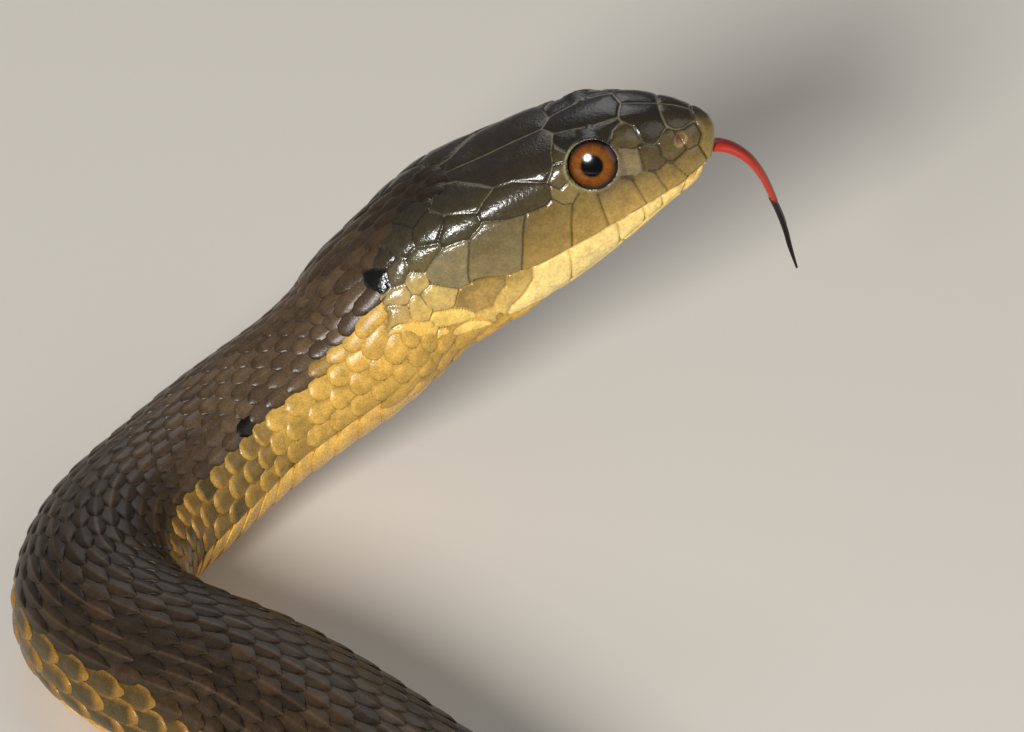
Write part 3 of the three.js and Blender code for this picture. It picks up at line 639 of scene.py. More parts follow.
# Its colours: each shield goes from its upper to its lower colour, with pale lines between the shields
# of the crown, dark ones between those of the lips, and a yellow-green crescent behind the eye. Painted
# shade darkens the crease of the mouth and the gap round each eye.
CROWN = ("frontal", "supraocular", "parietal", "prefrontal", "internasal", "temporal_rear")


def blend(one, other, share):
    """Two colours mixed by a share for each point. Each is a hex colour or an array of linear ones."""
    one, other = (np.array(linear(c)[:3]) if isinstance(c, str) else c for c in (one, other))
    share = np.asarray(share, float)[..., None]
    return one * (1 - share) + other * share


def shield_colours():
    """Colours of the half grid from the shield that each point is in."""
    top = np.array([linear(upper)[:3] for upper, _, _ in SHIELDS.values()])
    low = np.array([linear(lower)[:3] for _, lower, _ in SHIELDS.values()])
    reach = [[g for _, g in corners] for _, _, corners in SHIELDS.values()]
    start, end = np.array([(min(gs), max(gs)) for gs in reach]).T
    return blend(top[first], low[first], np.clip((G - start[first]) / (end[first] - start[first]), 0, 1))


tint = shield_colours()
is_crown = np.isin(first, [NAMES.index(name) for name in CROWN])
is_under = np.isin(first, [i for i, name in enumerate(NAMES) if name.startswith(("under", "chin", "mental"))])
line_tint = np.where(is_crown[..., None], linear("#71664a")[:3],
                     np.where(is_under[..., None], linear("#b58b43")[:3], 0.3 * tint))
# Painted shade: a dark brown line along the sunken crease of the mouth, where the lips meet.
tint = blend(tint, "#2a1d10", np.exp(-(below_mouth / 0.1) ** 2) * smooth(-0.6, 0.2, A) * 0.75)
bare = np.where(G[..., None] < 0.36, linear("#1b1711")[:3], linear("#97702e")[:3])
painted = np.maximum(smooth(-0.15, 0.1, inner), closed)
tint = both_sides(blend(bare, tint, painted))
groove_strength = np.where(is_crown, 0.75, np.where(is_under, 0.6, 0.85))
groove_tint = blend(tint, both_sides(line_tint), both_sides(groove_strength))
edge_mm = both_sides(np.where(on_shields > 0.5, from_edge, 1.0))
edge_mm = np.where((from_eye < EYE_OPENING + 0.5) | (pit > 0.1), 1.0, edge_mm)
behind_eye = smooth(-0.3, 1.6, EYE["a"] - to_head(head_skin)[..., 0])
ring = np.exp(-((from_eye - EYE_OPENING - 0.2) / 0.12) ** 2) * near_eye
tint = blend(tint, "#8c8c5e", ring * behind_eye * 0.8)
under_eye = smooth(0.6, 2.2, EYE["u"] - to_head(head_skin)[..., 2])
tint = blend(tint, "#7d726c", ring * under_eye * (1 - behind_eye) * 0.45)
# Painted shade: the skin inside the eye's opening, in the gap round the eyeball, is made near black.
tint = blend(tint, "#0c0906", (1 - smooth(EYE_OPENING - 0.1, EYE_OPENING + 0.14, from_eye)) * near_eye)
tint = blend(tint, "#9a8450", smooth(0.02, 0.3, pit) * 0.6)
tint = blend(tint, "#6a4632", smooth(0.35, 0.9, pit))

# Rows of the skin behind the head, with fewer columns, where the scales lie on it.
BODY_COLUMNS = HEAD_COLUMNS // 4
FULL_DEPTH_RADIUS = 6.0     # where the body is thinner, the skin lies less deep
body_s = np.concatenate([np.arange(NECK_START + 2.2, 150, 3.6), np.arange(152, TOTAL - 30, 6.6),
                         np.arange(TOTAL - 28, TOTAL - 1, 2.5), [TOTAL - 0.5]])
S_body, G_body = np.meshgrid(body_s, closed_g[::4], indexing="ij")
thinner = np.minimum(1, follow(RADIUS, S_body)[..., 0] / FULL_DEPTH_RADIUS)
body_skin = lifted(S_body, G_body, -SKIN_DEPTH * thinner)
fold = np.abs(np.where(G_body > 1, G_body - 2, G_body))
body_tint = np.where((fold < 0.44)[..., None], linear("#1a1610")[:3],
                     np.where((fold < 0.62)[..., None], linear("#6f5526")[:3], linear("#b98b3c")[:3]))

rows_front = head_skin[::-1]
first_middle, second_middle = rows_front[0].mean(axis=0), rows_front[1].mean(axis=0)
nose = first_middle + (first_middle - second_middle) * 0.3
tail_end = centre_line(TOTAL)
skin_points = np.concatenate([rows_front.reshape(-1, 3), body_skin.reshape(-1, 3), [nose, tail_end]])


def ring_quads(first_vertex, rows, columns):
    """Faces of a closed tube of rows by columns, and for each corner its row and column, where the
    last column is followed by number columns and not by 0."""
    i, j = np.meshgrid(np.arange(rows - 1), np.arange(columns), indexing="ij")
    corner_i = np.stack([i, i + 1, i + 1, i], axis=-1).reshape(-1, 4)
    corner_j = np.stack([j, j, j + 1, j + 1], axis=-1).reshape(-1, 4)
    return first_vertex + corner_i * columns + corner_j % columns, corner_i, corner_j


n_head = HEAD_ROWS * HEAD_COLUMNS
quads_head, hi, hj = ring_quads(0, HEAD_ROWS, HEAD_COLUMNS)
quads_body, bi, bj = ring_quads(n_head, len(body_s), BODY_COLUMNS)
# The map: the head takes the lower two thirds, the body the rest.
uv_head = np.stack([hj / HEAD_COLUMNS, 0.02 + 0.62 * hi / (HEAD_ROWS - 1)], axis=-1)
uv_body = np.stack([bj / BODY_COLUMNS, 0.66 + 0.32 * bi / (len(body_s) - 1)], axis=-1)
j = np.arange(BODY_COLUMNS)
last_ring = n_head - HEAD_COLUMNS
# Between them each side of the body's first ring meets four sides of the head's last one.
joint_columns = 4 * j[:, None] + np.array([0, 0, 4, 4, 3, 2, 1])
joint_faces = last_ring + joint_columns % HEAD_COLUMNS
joint_faces[:, 1], joint_faces[:, 2] = n_head + j, n_head + (j + 1) % BODY_COLUMNS
joint_v = np.broadcast_to(np.array([0.64, 0.66, 0.66, 0.64, 0.64, 0.64, 0.64]), joint_columns.shape)
joint_uv = np.stack([joint_columns / HEAD_COLUMNS, joint_v], axis=-1)
h = np.arange(HEAD_COLUMNS)
nose_faces = np.stack([np.full(HEAD_COLUMNS, len(skin_points) - 2), h, (h + 1) % HEAD_COLUMNS], axis=-1)
nose_uv = np.stack([np.stack([h + 0.5, h, h + 1], axis=-1) / HEAD_COLUMNS,
                    np.broadcast_to(np.array([0.005, 0.02, 0.02]), (HEAD_COLUMNS, 3))], axis=-1)
last_body = n_head + (len(body_s) - 1) * BODY_COLUMNS
tail_faces = np.stack([last_body + j, np.full(BODY_COLUMNS, len(skin_points) - 1),
                       last_body + (j + 1) % BODY_COLUMNS], axis=-1)
tail_uv = np.stack([np.stack([j, j + 0.5, j + 1], axis=-1) / BODY_COLUMNS,
                    np.broadcast_to(np.array([0.98, 0.995, 0.98]), (BODY_COLUMNS, 3))], axis=-1)


def point_values(mesh, name, values):
    """Gives the points of a mesh a number each, or a colour each, under a name."""
    is_colour = values.ndim == 2
    made = mesh.attributes.new(name, "FLOAT_COLOR" if is_colour else "FLOAT", "POINT")
    full = np.concatenate([values, np.ones((len(values), 1))], axis=1) if is_colour else values
    made.data.foreach_set("color" if is_colour else "value", full.astype(np.float32).ravel())


def build(name, points, face_sets, uv_sets, material, sharp_deg=None, **values):
    """A mesh object from points in millimetres, sets of faces with the same number of corners each,
    map places for every corner, and named values for every point. It rides on the snake."""
    mesh = bpy.data.meshes.new(name)
    faces = [face for group in face_sets for face in group.tolist()]
    mesh.from_pydata(metres(points).tolist(), [], faces)
    uv = mesh.uv_layers.new(name="OFBake")
    uv.data.foreach_set("uv", np.concatenate([u.reshape(-1, 2) for u in uv_sets]).astype(np.float32).ravel())
    for key, value in values.items():
        point_values(mesh, key, value)
    mesh.polygons.foreach_set("use_smooth", np.ones(len(mesh.polygons), bool))
    if sharp_deg:
        mesh.set_sharp_from_angle(angle=math.radians(sharp_deg))
    mesh.materials.append(material)
    made = bpy.data.objects.new(name, mesh)
    bpy.context.scene.collection.objects.link(made)
    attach(made, "root")
    return made


# Snake skin is keratin over soft tissue: semi-gloss, with a fine grain that breaks up highlights.
MOTTLE_MM = 1.1     # size of the uneven patches of its colour


def keratin(name, grain_mm, bump_mm, rough_matt, rough_glossy, mottle, specular, grooved=False):
    """A material whose colour and gloss come from the points, with mottling and grain of real sizes.
    If grooved, it takes the colour of the grooves where the distance to a groove is small."""
    made = finish(name, IOR=1.5, Specular_IOR_Level=specular)
    tree = made.node_tree
    shader = tree.nodes["Principled BSDF"]
    place = node(tree, "ShaderNodeTexCoord").outputs["Object"]
    colour = node(tree, "ShaderNodeAttribute", {"attribute_name": "tint"}).outputs["Color"]
    shine = node(tree, "ShaderNodeAttribute", {"attribute_name": "shine"}).outputs["Fac"]
    if grooved:
        groove = node(tree, "ShaderNodeAttribute", {"attribute_name": "groove_tint"}).outputs["Color"]
        edge = node(tree, "ShaderNodeAttribute", {"attribute_name": "edge_mm"}).outputs["Fac"]
        off_groove = node(tree, "ShaderNodeMapRange", {"interpolation_type": "SMOOTHSTEP"},
                          i0=edge, i1=0.02, i2=0.14, i3=0.0, i4=1.0).outputs[0]
        mixed = node(tree, "ShaderNodeMix", {"data_type": "RGBA"}, i0=off_groove, i6=groove, i7=colour)
        colour = mixed.outputs[2]
    coarse = node(tree, "ShaderNodeTexNoise", Vector=place, Scale=1000 / MOTTLE_MM, Detail=3.0, Roughness=0.6)
    fine = node(tree, "ShaderNodeTexNoise", Vector=place, Scale=1000 / grain_mm, Detail=2.0, Roughness=0.6)
    uneven = node(tree, "ShaderNodeMapRange", i0=coarse.outputs["Fac"], i1=0.3, i2=0.7,
                  i3=1 - mottle, i4=1 + mottle)
    specks = node(tree, "ShaderNodeMapRange", i0=fine.outputs["Fac"], i1=0.35, i2=0.65,
                  i3=1 - mottle * 0.7, i4=1 + mottle * 0.7)
    both = node(tree, "ShaderNodeMath", {"operation": "MULTIPLY"}, i0=uneven.outputs[0], i1=specks.outputs[0])
    shaded = node(tree, "ShaderNodeVectorMath", {"operation": "SCALE"}, i0=colour, Scale=both.outputs[0])
    tree.links.new(shaded.outputs[0], shader.inputs["Base Color"])
    rough = node(tree, "ShaderNodeMapRange", i0=shine, i1=0.0, i2=1.0, i3=rough_matt, i4=rough_glossy)
    rough_fine = node(tree, "ShaderNodeMapRange", i0=fine.outputs["Fac"], i1=0.3, i2=0.7, i3=0.85, i4=1.15)
    rough_all = node(tree, "ShaderNodeMath", {"operation": "MULTIPLY"}, i0=rough.outputs[0],
                     i1=rough_fine.outputs[0])
    tree.links.new(rough_all.outputs[0], shader.inputs["Roughness"])
    bump = node(tree, "ShaderNodeBump", Strength=1.0, Distance=bump_mm / 1000, Height=fine.outputs["Fac"])
    tree.links.new(bump.outputs[0], shader.inputs["Normal"])
    return made


head_keratin = keratin("semi_gloss_keratin_shields", 0.26, 0.032, 0.5, 0.2, 0.19, 0.42, grooved=True)
covered = len(body_s) * BODY_COLUMNS + 2     # the points under the scales, and the two poles


def nose_first(values):
    """Colours of the head's grid in the order of its points, from the nose back."""
    return values[::-1].reshape(-1, 3)


skin_values = {
    "tint": np.concatenate([nose_first(tint), body_tint.reshape(-1, 3), [tint[-1].mean(axis=0)],
                            [body_tint[-1, 0]]]),
    "groove_tint": np.concatenate([nose_first(groove_tint), np.tile(linear("#1d180f")[:3], (covered, 1))]),
    "edge_mm": np.concatenate([edge_mm[::-1].ravel(), np.ones(covered)]),
    "shine": np.concatenate([both_sides(0.35 + 0.65 * on_shields)[::-1].ravel(), np.full(covered, 0.2)])}
skin = build("skin", skin_points, [quads_head, quads_body, joint_faces, nose_faces, tail_faces],
             [uv_head, uv_body, joint_uv, nose_uv, tail_uv],
             head_keratin, **skin_values)
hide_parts("head", "lower_jaw", "neck_1", "neck_2", "body_1", "body_2", "body_3", "body_4", "body_5",
            "body_6", "tail_1", "tail_2")

# Scales: thin overlapping horny plates, keeled on the back and smooth on the flanks. Each is a closed
# shell whose root is sunk in the skin and whose rear edge stands free over the next one.
SCALE_ACROSS = np.array([-1, -0.62, -0.27, 0, 0.27, 0.62, 1])
SCALE_ALONG = np.array([0, 0.18, 0.38, 0.58, 0.77, 0.91, 1.0])
KEELED_WIDTH = np.array([0.8, 0.95, 1.0, 0.99, 0.9, 0.7, 0.38])
ROUND_WIDTH = np.array([0.85, 0.97, 1.0, 1.0, 0.97, 0.86, 0.6])
SCALE_LENGTH = 1.5     # in steps from one scale to the next in its row
SCALE_WIDTH = 0.67      # half of a scale's width, in widths of its row
SCALE_THICKNESS = 0.16
KEEL_HEIGHT = 0.09
SHARP_DEG = 55          # edges sharper than this aren't shaded smooth
# Length along the snake from one scale of a row to the next.
SCALE_PITCH = np.array([
    (-9, 2.0), (0, 2.15), (20, 2.5), (45, 3.0), (90, 3.5), (120, 3.7), (330, 3.9), (470, 3.6), (560, 3.1),
    (620, 2.4), (660, 1.7), (690, 1.0), (707, 0.8)])
SCUTE_EDGE = 0.62       # where the belly scutes begin, in g
# Number of rows of scales over the back, from each length on to the next.
ROWS = ((-9.0, 19), (330.0, 17), (566.0, 15), (588.0, 13), (608.0, 11), (630.0, 9), (655.0, 7))
EDGE_ROWS = np.array([1.75, 1.5, 1.4])   # widths of the three lowest rows, against those of the back
FIRST_SCUTE = 9.5
THROAT_ROWS = 5         # on each side of the throat
THROAT_STRETCH = 1.7    # the scales of the throat are long

walk = np.linspace(-NECK_START, TOTAL, 20000)
walk_pitch = follow(SCALE_PITCH, (walk[1:] + walk[:-1]) / 2)[:, 0]
count_at = np.concatenate([[0], np.cumsum(np.diff(walk) / walk_pitch)])


def place_of(count):
    """Length along the snake at which so many scales have been passed."""
    return np.interp(count, count_at, walk)


def row_places(rows):
    """Middles and widths in g of the rows of one side, from the middle of the back down to the scutes."""
    widths = np.ones(rows // 2 + 1)
    widths[-3:] = EDGE_ROWS[::-1] if rows > 15 else widths[-3:]
    widths[0] = 0.5
    widths *= SCUTE_EDGE / widths.sum()
    ends = np.cumsum(widths)
    middles = ends - widths / 2
    middles[0] = 0
    widths[0] *= 2
    return middles, widths


def lattice():
    """Every scale of the back and the throat: its root, its middle in g, its row's width in g, the number
    of its row from the scutes up, which is below 1 on the throat, and how much longer than its step it is
    there. Rows next to each other are shifted by half a step."""
    found = []

    def add(roots, *values):
        found.append((roots, *(np.full(len(roots), value) for value in values)))

    ends = [*[start for start, _ in ROWS[1:]], TOTAL - 1.5]
    counts = np.arange(0, count_at[-1])
    for (start, rows), end in zip(ROWS, ends):
        for k, (middle, width) in enumerate(zip(*row_places(rows))):
            roots = place_of(counts + 0.5 * (k % 2))
            roots = roots[(roots >= start) & (roots < end)]
            for side in ((1,) if k == 0 else (1, -1)):
                add(roots, side * middle, width, rows // 2 + 1.0 - k, 1.0)
    throat_width = (1 - SCUTE_EDGE) / THROAT_ROWS
    for k in range(THROAT_ROWS):
        roots = place_of(THROAT_STRETCH * (counts + 0.5 * (k % 2)))
        roots = roots[roots < FIRST_SCUTE - 3 + 0.9 * (4 - k)]
        middle = SCUTE_EDGE + (k + 0.5) * throat_width
        for side in (1, -1):
            add(roots, side * middle, throat_width, -float(k), THROAT_STRETCH)
    return [np.concatenate(column) for column in zip(*found)]


# On the head a scale is left out where most of it would lie on a shield.
root, middle, width, row_up, stretch = lattice()
step = follow(SCALE_PITCH, root)[:, 0] * stretch
shown_at = root + 0.8 * step
on_head = shown_at < NECK_START
keep = np.ones(len(root), bool)
inner_there, _, closed_there = meeting(shield_depths(-shown_at[on_head], np.abs(middle[on_head])),
                                       -shown_at[on_head], middle[on_head])
keep[on_head] = (inner_there < 0.5) & (closed_there < 0.5)
root, middle, width, row_up, step = (column[keep] for column in (root, middle, width, row_up, step))
chance = np.random.default_rng(7).random((len(root), 6))


def rim_of(rows, columns):
    """Numbers of the points round a grid: down its first column, along its last row, up and back."""
    i = np.arange(rows * columns).reshape(rows, columns)
    return np.concatenate([i[:-1, 0], i[-1, :-1], i[:0:-1, -1], i[0, :0:-1]])


def shells(s, g, height, thickness):
    """Points of thin closed shells from a grid of places and heights over the form for each: the grid,
    and then a ring under its rim, lower by the thickness."""
    rim = rim_of(*s.shape[1:])
    s, g, height = (np.broadcast_to(grid, s.shape).reshape(len(s), -1)
                    for grid in (np.minimum(s, TOTAL), g, height))
    low = lifted(s[:, rim], g[:, rim], height[:, rim] - thickness)
    return np.concatenate([lifted(s, g, height), low], axis=1)


def per_shell(x, y):
    """Places across and along for the points of a shell: those of its grid and then of its rim."""
    order = np.concatenate([np.arange(x.size), rim_of(*x.shape)])
    return x.ravel()[order], y.ravel()[order]


def plates(name, points, rows, columns, uv, colours, shine):
    """One piece made of many shells, with map places, colours and gloss for all their points. A shell's
    faces are its grid, a wall from the rim to the ring below it, and a floor."""
    n, each = points.shape[:2]
    i = np.arange(rows * columns).reshape(rows, columns)
    grid = np.stack([i[:-1, :-1], i[1:, :-1], i[1:, 1:], i[:-1, 1:]], axis=-1).reshape(-1, 4)
    rim = rim_of(rows, columns)
    low = rows * columns + np.arange(len(rim))
    wall = np.stack([np.roll(rim, -1), rim, low, np.roll(low, -1)], axis=-1)
    faces, floors = ((one[None] + (np.arange(n) * each)[:, None, None]).reshape(-1, one.shape[1])
                     for one in (np.concatenate([grid, wall]), low[::-1][None]))
    uv = np.stack(uv, axis=-1).reshape(-1, 2)
    return build(name, points.reshape(-1, 3), [faces, floors], [uv[faces], uv[floors]], scale_keratin,
                 SHARP_DEG, tint=colours.reshape(-1, 3), shine=np.broadcast_to(shine, (n, each)).ravel())


def scale_shells(pick):
    """Points of the picked scales, and the grid that each is made on. Across, a scale goes from -1 to 1
    times its half width, which changes along it; along, its edges lag behind its middle. The height over
    the form rises from the sunk root to the free rear edge, plus a low dome and, on the back, a keel."""
    r, m, w, up, p = (values[pick, None, None] for values in (root, middle, width, row_up, step))
    round_share = np.maximum(smooth(0.4, 1.0, 3.4 - up), 1 - smooth(20, 75, r))
    x, y = np.meshgrid(SCALE_ACROSS, SCALE_ALONG)
    half_width = (ROUND_WIDTH * round_share[:, 0] + KEELED_WIDTH * (1 - round_share[:, 0]))[:, :, None]
    size = np.clip(np.pi * follow(RADIUS, r)[..., 0] * w / 1.45, 0.15, 1.25)
    s = r + (y - 0.11 * y * x ** 2) * (SCALE_LENGTH * p)
    g = m + x * (half_width * (SCALE_WIDTH * w))
    keel = (np.abs(x) < 0.01) * smooth(0.1, 0.4, y) * (1 - 0.6 * smooth(0.85, 1.0, y))
    keel_height = KEEL_HEIGHT * smooth(1.2, 3.5, up) * smooth(5, 60, r)
    dome = (0.07 + 0.07 * round_share) * (1 - x ** 2) * (1 - (2 * y - 1) ** 4)
    edge = (np.abs(x) > 0.99) | (y > 0.99)
    rise = (0.36 - 0.06 * round_share) * y ** 0.8
    height = (-0.33 + 0.05 * round_share + rise + dome + keel_height * keel - 0.06 * edge) * size
    return shells(s, g, height, SCALE_THICKNESS * size[:, 0]), x, y


# Colours of the scales: dark olive brown on the back, and on the lowest three rows yellow with olive
# middles that grow darker along the neck. The throat is yellow.
FLECKED = 0.14          # share of the yellow scales with a dark fleck at the root
BLACK_SCALES = 0.16     # share of black ones among the scales of the neck that border on the yellow


def markings(s, up, across, along, chance):
    """Colour at a place on a scale. The share of yellow falls off above the third row, and on a scale
    the middle is mixed towards olive or a lighter brown, and the rim towards yellow or black."""
    rim = np.maximum(np.abs(across) ** 3, smooth(0.72, 1.0, along))
    top_row = 3.5 + 1.1 * (1 - smooth(8, 22, s)) - 0.8 * smooth(55, 75, s)
    yellow = 1 - smooth(-0.35, 0.35, up - top_row + 0.3 * (chance[0] - 0.5))
    gold = blend("#cda14b", "#a87a33", smooth(16, 46, s))
    olive = blend("#957638", "#43371d", smooth(14, 38, s))
    middle_share = (1 - rim ** 1.6) * (0.45 + 0.55 * smooth(12, 32, s)) * (0.7 + 0.6 * chance[1])
    bright = blend(gold, olive, np.clip(middle_share, 0, 1))
    fleck = smooth(0.45, 0.8, np.abs(across)) * (1 - smooth(0.5, 0.66, along)) * (chance[4] < FLECKED)
    border = np.maximum(smooth(0.8, 1.0, np.abs(across)), smooth(0.86, 1.0, along))
    bright = bright * (1 - 0.93 * fleck[..., None]) * (1 - 0.4 * border[..., None])
    patchy = 0.5 + 0.5 * np.sin(s / 2.3 + 2.4 * up) * np.sin(s / 5.1 - 1.7 * up)
    brown = blend("#231a11", "#3c2d1c", 0.35 * chance[2] + 0.6 * patchy * smooth(50, 90, s))
    brown = blend(brown, "#5a4834", 0.65 * smooth(-1, 12, s) * (1 - smooth(22, 50, s)))
    dark = brown * (0.75 + 0.5 * chance[3][..., None])
    dark = dark * (1 - 0.4 * (rim ** 1.5)[..., None])
    streak = np.exp(-(across / 0.15) ** 2) * smooth(0.1, 0.4, along) * smooth(2.5, 3.5, up) * smooth(0, 25, s)
    dark = blend(dark, "#6d5840", 0.3 * streak * chance[0])
    black = (chance[5] < BLACK_SCALES) & (np.abs(up - top_row - 0.5) < 0.55) & (s < 46)
    dark = np.where(black[..., None], dark * 0.12, dark)
    return blend(dark, bright, yellow)


def coat(name, low, high):
    """The scales whose roots lie between two lengths, as one piece. On the map each scale keeps its
    place on the unrolled skin and is as large as its own step there."""
    pick = np.flatnonzero((root >= low) & (root < high))
    points, x, y = scale_shells(pick)
    across, along = per_shell(x, y)
    length, up = root[pick, None], row_up[pick, None]
    colours = markings(length, up, across, along, chance[pick].T[..., None])
    shine = np.maximum(1 - 0.7 * smooth(3.0, 5.0, up), 0.8 - 0.5 * smooth(25, 55, length))
    u = 0.5 + (middle[pick, None] + across * width[pick, None] * 0.46) / 2
    v = 0.02 + 0.96 * (length + (0.05 + 0.9 * along) * step[pick, None] - low) / (high - low + 4)
    made = plates(name, points, *x.shape, (u, v), colours, shine)


scale_keratin = keratin("keeled_keratin_scales", 0.16, 0.02, 0.5, 0.25, 0.24, 0.24)
NECK_END, FRONT_END, MIDDLE_END, TAIL_START = 55, 190, 345, 566     # where the coat's pieces part
coat("scales_neck", -12, NECK_END)
coat("scales_front", NECK_END, FRONT_END)
coat("scales_middle", FRONT_END, MIDDLE_END)
coat("scales_rear", MIDDLE_END, TAIL_START)
coat("scales_tail", TAIL_START, 800)

# Belly scutes: one wide plate of keratin across the belly for each step, smooth and hard, lapped
# rearwards, with rounded ends on the flanks. Behind the vent, under the tail, they come in pairs.
SCUTE_ALONG = np.array([0, 0.3, 0.6, 0.85, 1.0])
SCUTE_LENGTH = 1.35     # in steps from one scute to the next
SCUTE_THICKNESS = 0.14


def scutes(name, low, high, ends, columns):
    """Plates between two values of g, whose ends curve forward, one for each step from low to high."""
    counts = np.arange(np.ceil(np.interp(low, walk, count_at)), np.interp(high, walk, count_at))
    r = place_of(counts)[:, None, None]
    p = follow(SCALE_PITCH, r)[..., 0]
    size = np.clip(follow(RADIUS, r)[..., 0] / 7.5, 0.12, 1.1)
    x, y = np.meshgrid(np.linspace(-1, 1, columns), SCUTE_ALONG)
    s = r - 0.1 * p + (SCUTE_LENGTH * p) * y * (1 - 0.5 * np.abs(x) ** 8)
    edge = (np.abs(x) > 0.99) | (y > 0.99)
    dome = 0.05 * (1 - (2 * y - 1) ** 2)
    height = (-0.22 + 0.25 * y ** 0.8 + dome - 0.04 * edge - 0.08 * np.abs(x) ** 10) * size
    across, along = per_shell(x, y)
    points, u = [], []
    for from_g, to_g in ends:
        middle_g, reach = (from_g + to_g) / 2, (to_g - from_g) / 2
        g = middle_g + x * reach * (0.965 + 0.035 * np.sin(np.pi * y))
        points.append(shells(s, g, height, SCUTE_THICKNESS * size[:, 0]))
        u.append(np.broadcast_to(0.5 + (middle_g - 1 + across * reach * 0.96) / 0.8, (len(r), len(across))))
    points = np.concatenate(points)
    length, own_step = (np.tile(values[:, 0], (len(ends), 1)) for values in (r, p))
    v = 0.02 + 0.96 * (length + (0.05 + 0.9 * along) * own_step - low) / (high - low + 5)
    luck = np.random.default_rng(11).random(len(points))[:, None]
    base = blend("#e4b458", "#cf9f48", smooth(20, 90, length))
    base = base * (1 - 0.15 * smooth(0, 1, luck)[..., None])
    dusky = blend("#e4b458", "#8a7637", 0.7 * smooth(40, 90, length))
    colours = blend(base, dusky, 0.6 * np.abs(across) ** 6) * (1 - 0.2 * smooth(0.85, 1.0, along)[:, None])
    made = plates(name, points, *x.shape, (np.concatenate(u), v), colours, 0.9)


# They reach a little way under the lowest scales.
RIGHT_END, LEFT_END = SCUTE_EDGE - 0.015, 2.015 - SCUTE_EDGE
scutes("scutes_front", FIRST_SCUTE, FRONT_END, [(RIGHT_END, LEFT_END)], 27)
scutes("scutes_middle", FRONT_END, MIDDLE_END, [(RIGHT_END, LEFT_END)], 27)
scutes("scutes_rear", MIDDLE_END, TAIL_START, [(RIGHT_END, LEFT_END)], 27)
scutes("scutes_tail", TAIL_START, TOTAL - 4, [(RIGHT_END, 1.0), (1.0, LEFT_END)], 13)

# Eyes: round pupils in orange-brown irises under a clear, hard, tight scale, with painted shade round
# the edge where the socket's rim meets the eye. Each is one flattened ball whose front shows, with the
# iris as rings round its axis.
EYE_SIDES, EYE_RINGS = 72, 40
PUPIL, IRIS = 1.08, 2.0     # radii of the pupil and of the iris

# A matt iris under a wet clear layer, so that the eye shows one small sharp highlight.
eye_gloss = finish("wet_clear_spectacle_over_iris", tinted=True, Roughness=0.5, Specular_IOR_Level=0.0,
                   Coat_Weight=1.0, Coat_IOR=1.36, Coat_Roughness=0.12)


def eyeball(sign):
    """Points of a flattened ball, as rings at equal steps of angle from its outer pole to its inner one
    and then both poles, with their distances from its axis, their places along it and their turns."""
    polar = np.linspace(0, np.pi, EYE_RINGS + 1)[1:-1]
    turn = np.arange(EYE_SIDES) * 2 * np.pi / EYE_SIDES
    out, round_ = (grid.ravel() for grid in np.meshgrid(polar, turn, indexing="ij"))
    away = np.concatenate([EYE["radius"] * np.sin(out), [0, 0]])
    outward = np.concatenate([EYE["depth"] * np.cos(out), [EYE["depth"], -EYE["depth"]]])
    turned = np.concatenate([round_, [0, 0]])
    local = from_eye_frame(away * np.cos(turned), outward, away * np.sin(turned), sign)
    return from_head(local), away, outward, turned


def eye(name, sign, node_name):
    """The eye on one side. Its colours go by the distance from its axis."""
    points, away, outward, turned = eyeball(sign)
    n = (EYE_RINGS - 1) * EYE_SIDES
    quads, _, _ = ring_quads(0, EYE_RINGS - 1, EYE_SIDES)
    j = np.arange(EYE_SIDES)
    last = n - EYE_SIDES
    outer_fan = np.stack([np.full(EYE_SIDES, n), j, (j + 1) % EYE_SIDES], axis=-1)
    inner_fan = np.stack([last + j, np.full(EYE_SIDES, n + 1), last + (j + 1) % EYE_SIDES], axis=-1)
    fans = np.concatenate([outer_fan, inner_fan])
    quads, fans = (quads, fans) if sign > 0 else (quads[:, ::-1], fans[:, ::-1])
    streak = 0.5 + 0.5 * np.sin(turned * 23 + 3 * np.sin(turned * 7))
    iris = blend("#4b260a", "#7c4716", 0.35 + 0.4 * streak)
    iris = blend(iris, "#a5722c", np.exp(-((away - PUPIL - 0.08) / 0.08) ** 2) * 0.25)
    iris = blend(iris, "#30160a", smooth(1.55, IRIS, away) * 0.8)
    # Painted shade: the ball beyond the iris is near black, for the shade at the socket's rim.
    iris = blend(iris, "#060404", smooth(IRIS - 0.05, IRIS + 0.12, away))
    colours = blend(iris, "#020202", 1 - smooth(PUPIL - 0.07, PUPIL + 0.04, away))
    uv = 0.5 + 0.45 * away[:, None] / EYE["radius"] * np.stack([np.cos(turned), np.sin(turned)], axis=-1)
    uv = np.where(outward[:, None] < 0, uv * 0.02, uv)
    made = build(name, points, [quads, fans], [uv[quads], uv[fans]], eye_gloss, tint=colours)
    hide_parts(node_name)


eye("right_eye", 1, "eye_right")
eye("left_eye", -1, "eye_left")

# Tongue: a flat moist muscle that comes out through the notch of the upper lip and forks into two thin
# tips. It is red, darker along its middle, and black from the fork on.
TONGUE = np.array([
    (20.6, -2.95, 1.6, 0.75), (22, -3.0, 1.8, 0.85), (23.2, -3.2, 1.9, 0.9), (24.5, -4.3, 1.9, 0.9),
    (25.4, -6.3, 1.8, 0.85), (25.6, -8.6, 1.5, 0.75), (25.4, -10.7, 1.25, 0.65), (25.3, -11.6, 1.1, 0.55)])
TIP = np.array([
    (25.24, -11.0, 0.6, 0.52, 0.26), (25.1, -12.6, 0.55, 0.52, 0.45), (24.8, -14.4, 0.52, 0.5, 0.85),
    (24.4, -15.9, 0.45, 0.42, 1.3), (24.0, -17.8, 0.2, 0.2, 1.9)])


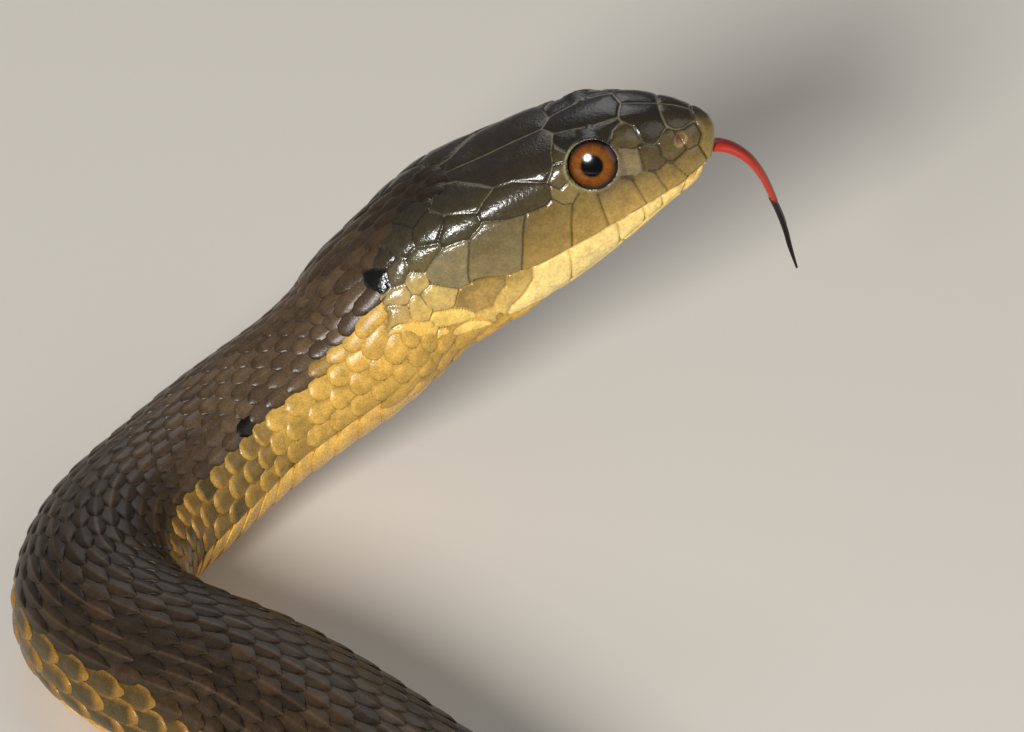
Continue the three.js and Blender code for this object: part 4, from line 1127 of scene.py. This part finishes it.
def strand(rows, sign, rings, sides):
    """Points of a flat strand: ovals of a width and thickness across a smooth line in the head's middle
    plane, set aside by the last value, with a point at each end."""
    rows = np.hstack([rows, np.zeros((len(rows), 5 - rows.shape[1]))])
    path = spline(rows, np.linspace(0, len(rows) - 1, rings))
    heading = unit(np.gradient(path[:, :2], axis=0))
    turn = np.arange(sides) * 2 * np.pi / sides
    across = path[:, 2:3] / 2 * np.sin(turn)
    above = path[:, 3:4] / 2 * np.cos(turn)
    local = np.stack([path[:, 0:1] - heading[:, 1:2] * above, sign * path[:, 4:5] + across,
                      path[:, 1:2] + heading[:, 0:1] * above], axis=-1)
    caps = local[[0, -1]].mean(axis=1)
    return from_head(np.concatenate([local.reshape(-1, 3), caps])), turn


def strand_faces(rings, sides):
    """Faces of the strand's tube and the fans at its ends."""
    quads, _, _ = ring_quads(0, rings, sides)
    k = np.arange(sides)
    last = (rings - 1) * sides
    first_fan = np.stack([np.full(sides, rings * sides), (k + 1) % sides, k], axis=-1)
    last_fan = np.stack([last + k, last + (k + 1) % sides, np.full(sides, rings * sides + 1)], axis=-1)
    return quads[:, ::-1], np.concatenate([first_fan, last_fan])


# Wet flesh: a clear gloss on the surface and a little light that comes back from inside.
tongue_flesh = finish("moist_red_tongue", tinted=True, Roughness=0.28, Subsurface_Weight=0.15,
                      Subsurface_Radius=(0.001, 0.0004, 0.0003))

# The blade and then its two tips. Way goes from 0 at the root of the blade to 1 at the end of a tip.
strands = []
offset = 0
for rows, sign, rings, sides, start, end in (
        (TONGUE, 0, 60, 28, 0.0, 0.7), (TIP, 1, 40, 16, 0.7, 1.0), (TIP, -1, 40, 16, 0.7, 1.0)):
    points, turn = strand(rows, sign, rings, sides)
    quads, fans = strand_faces(rings, sides)
    way = np.concatenate([np.repeat(np.linspace(start, end, rings), sides), [start, end]])
    stripe = np.concatenate([np.tile(np.cos(turn), rings), [0, 0]])
    colours = blend("#a42b16", "#6e0d10", smooth(0.75, 1.0, np.abs(stripe)) * 0.8)
    colours = blend(colours, "#140a0a", smooth(0.6, 0.74, way))
    place = np.stack([0.1 + 0.25 * (sign + 1) + 0.02 * stripe, 0.02 + 0.95 * way], axis=-1)
    strands.append((points, quads + offset, fans + offset, colours, place))
    offset += len(points)
points, quads, fans, colours, place = (np.concatenate(column) for column in zip(*strands))
tongue = build("forked_tongue", points, [quads, fans], [place[quads], place[fans]], tongue_flesh,
               tint=colours)
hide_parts("tongue")
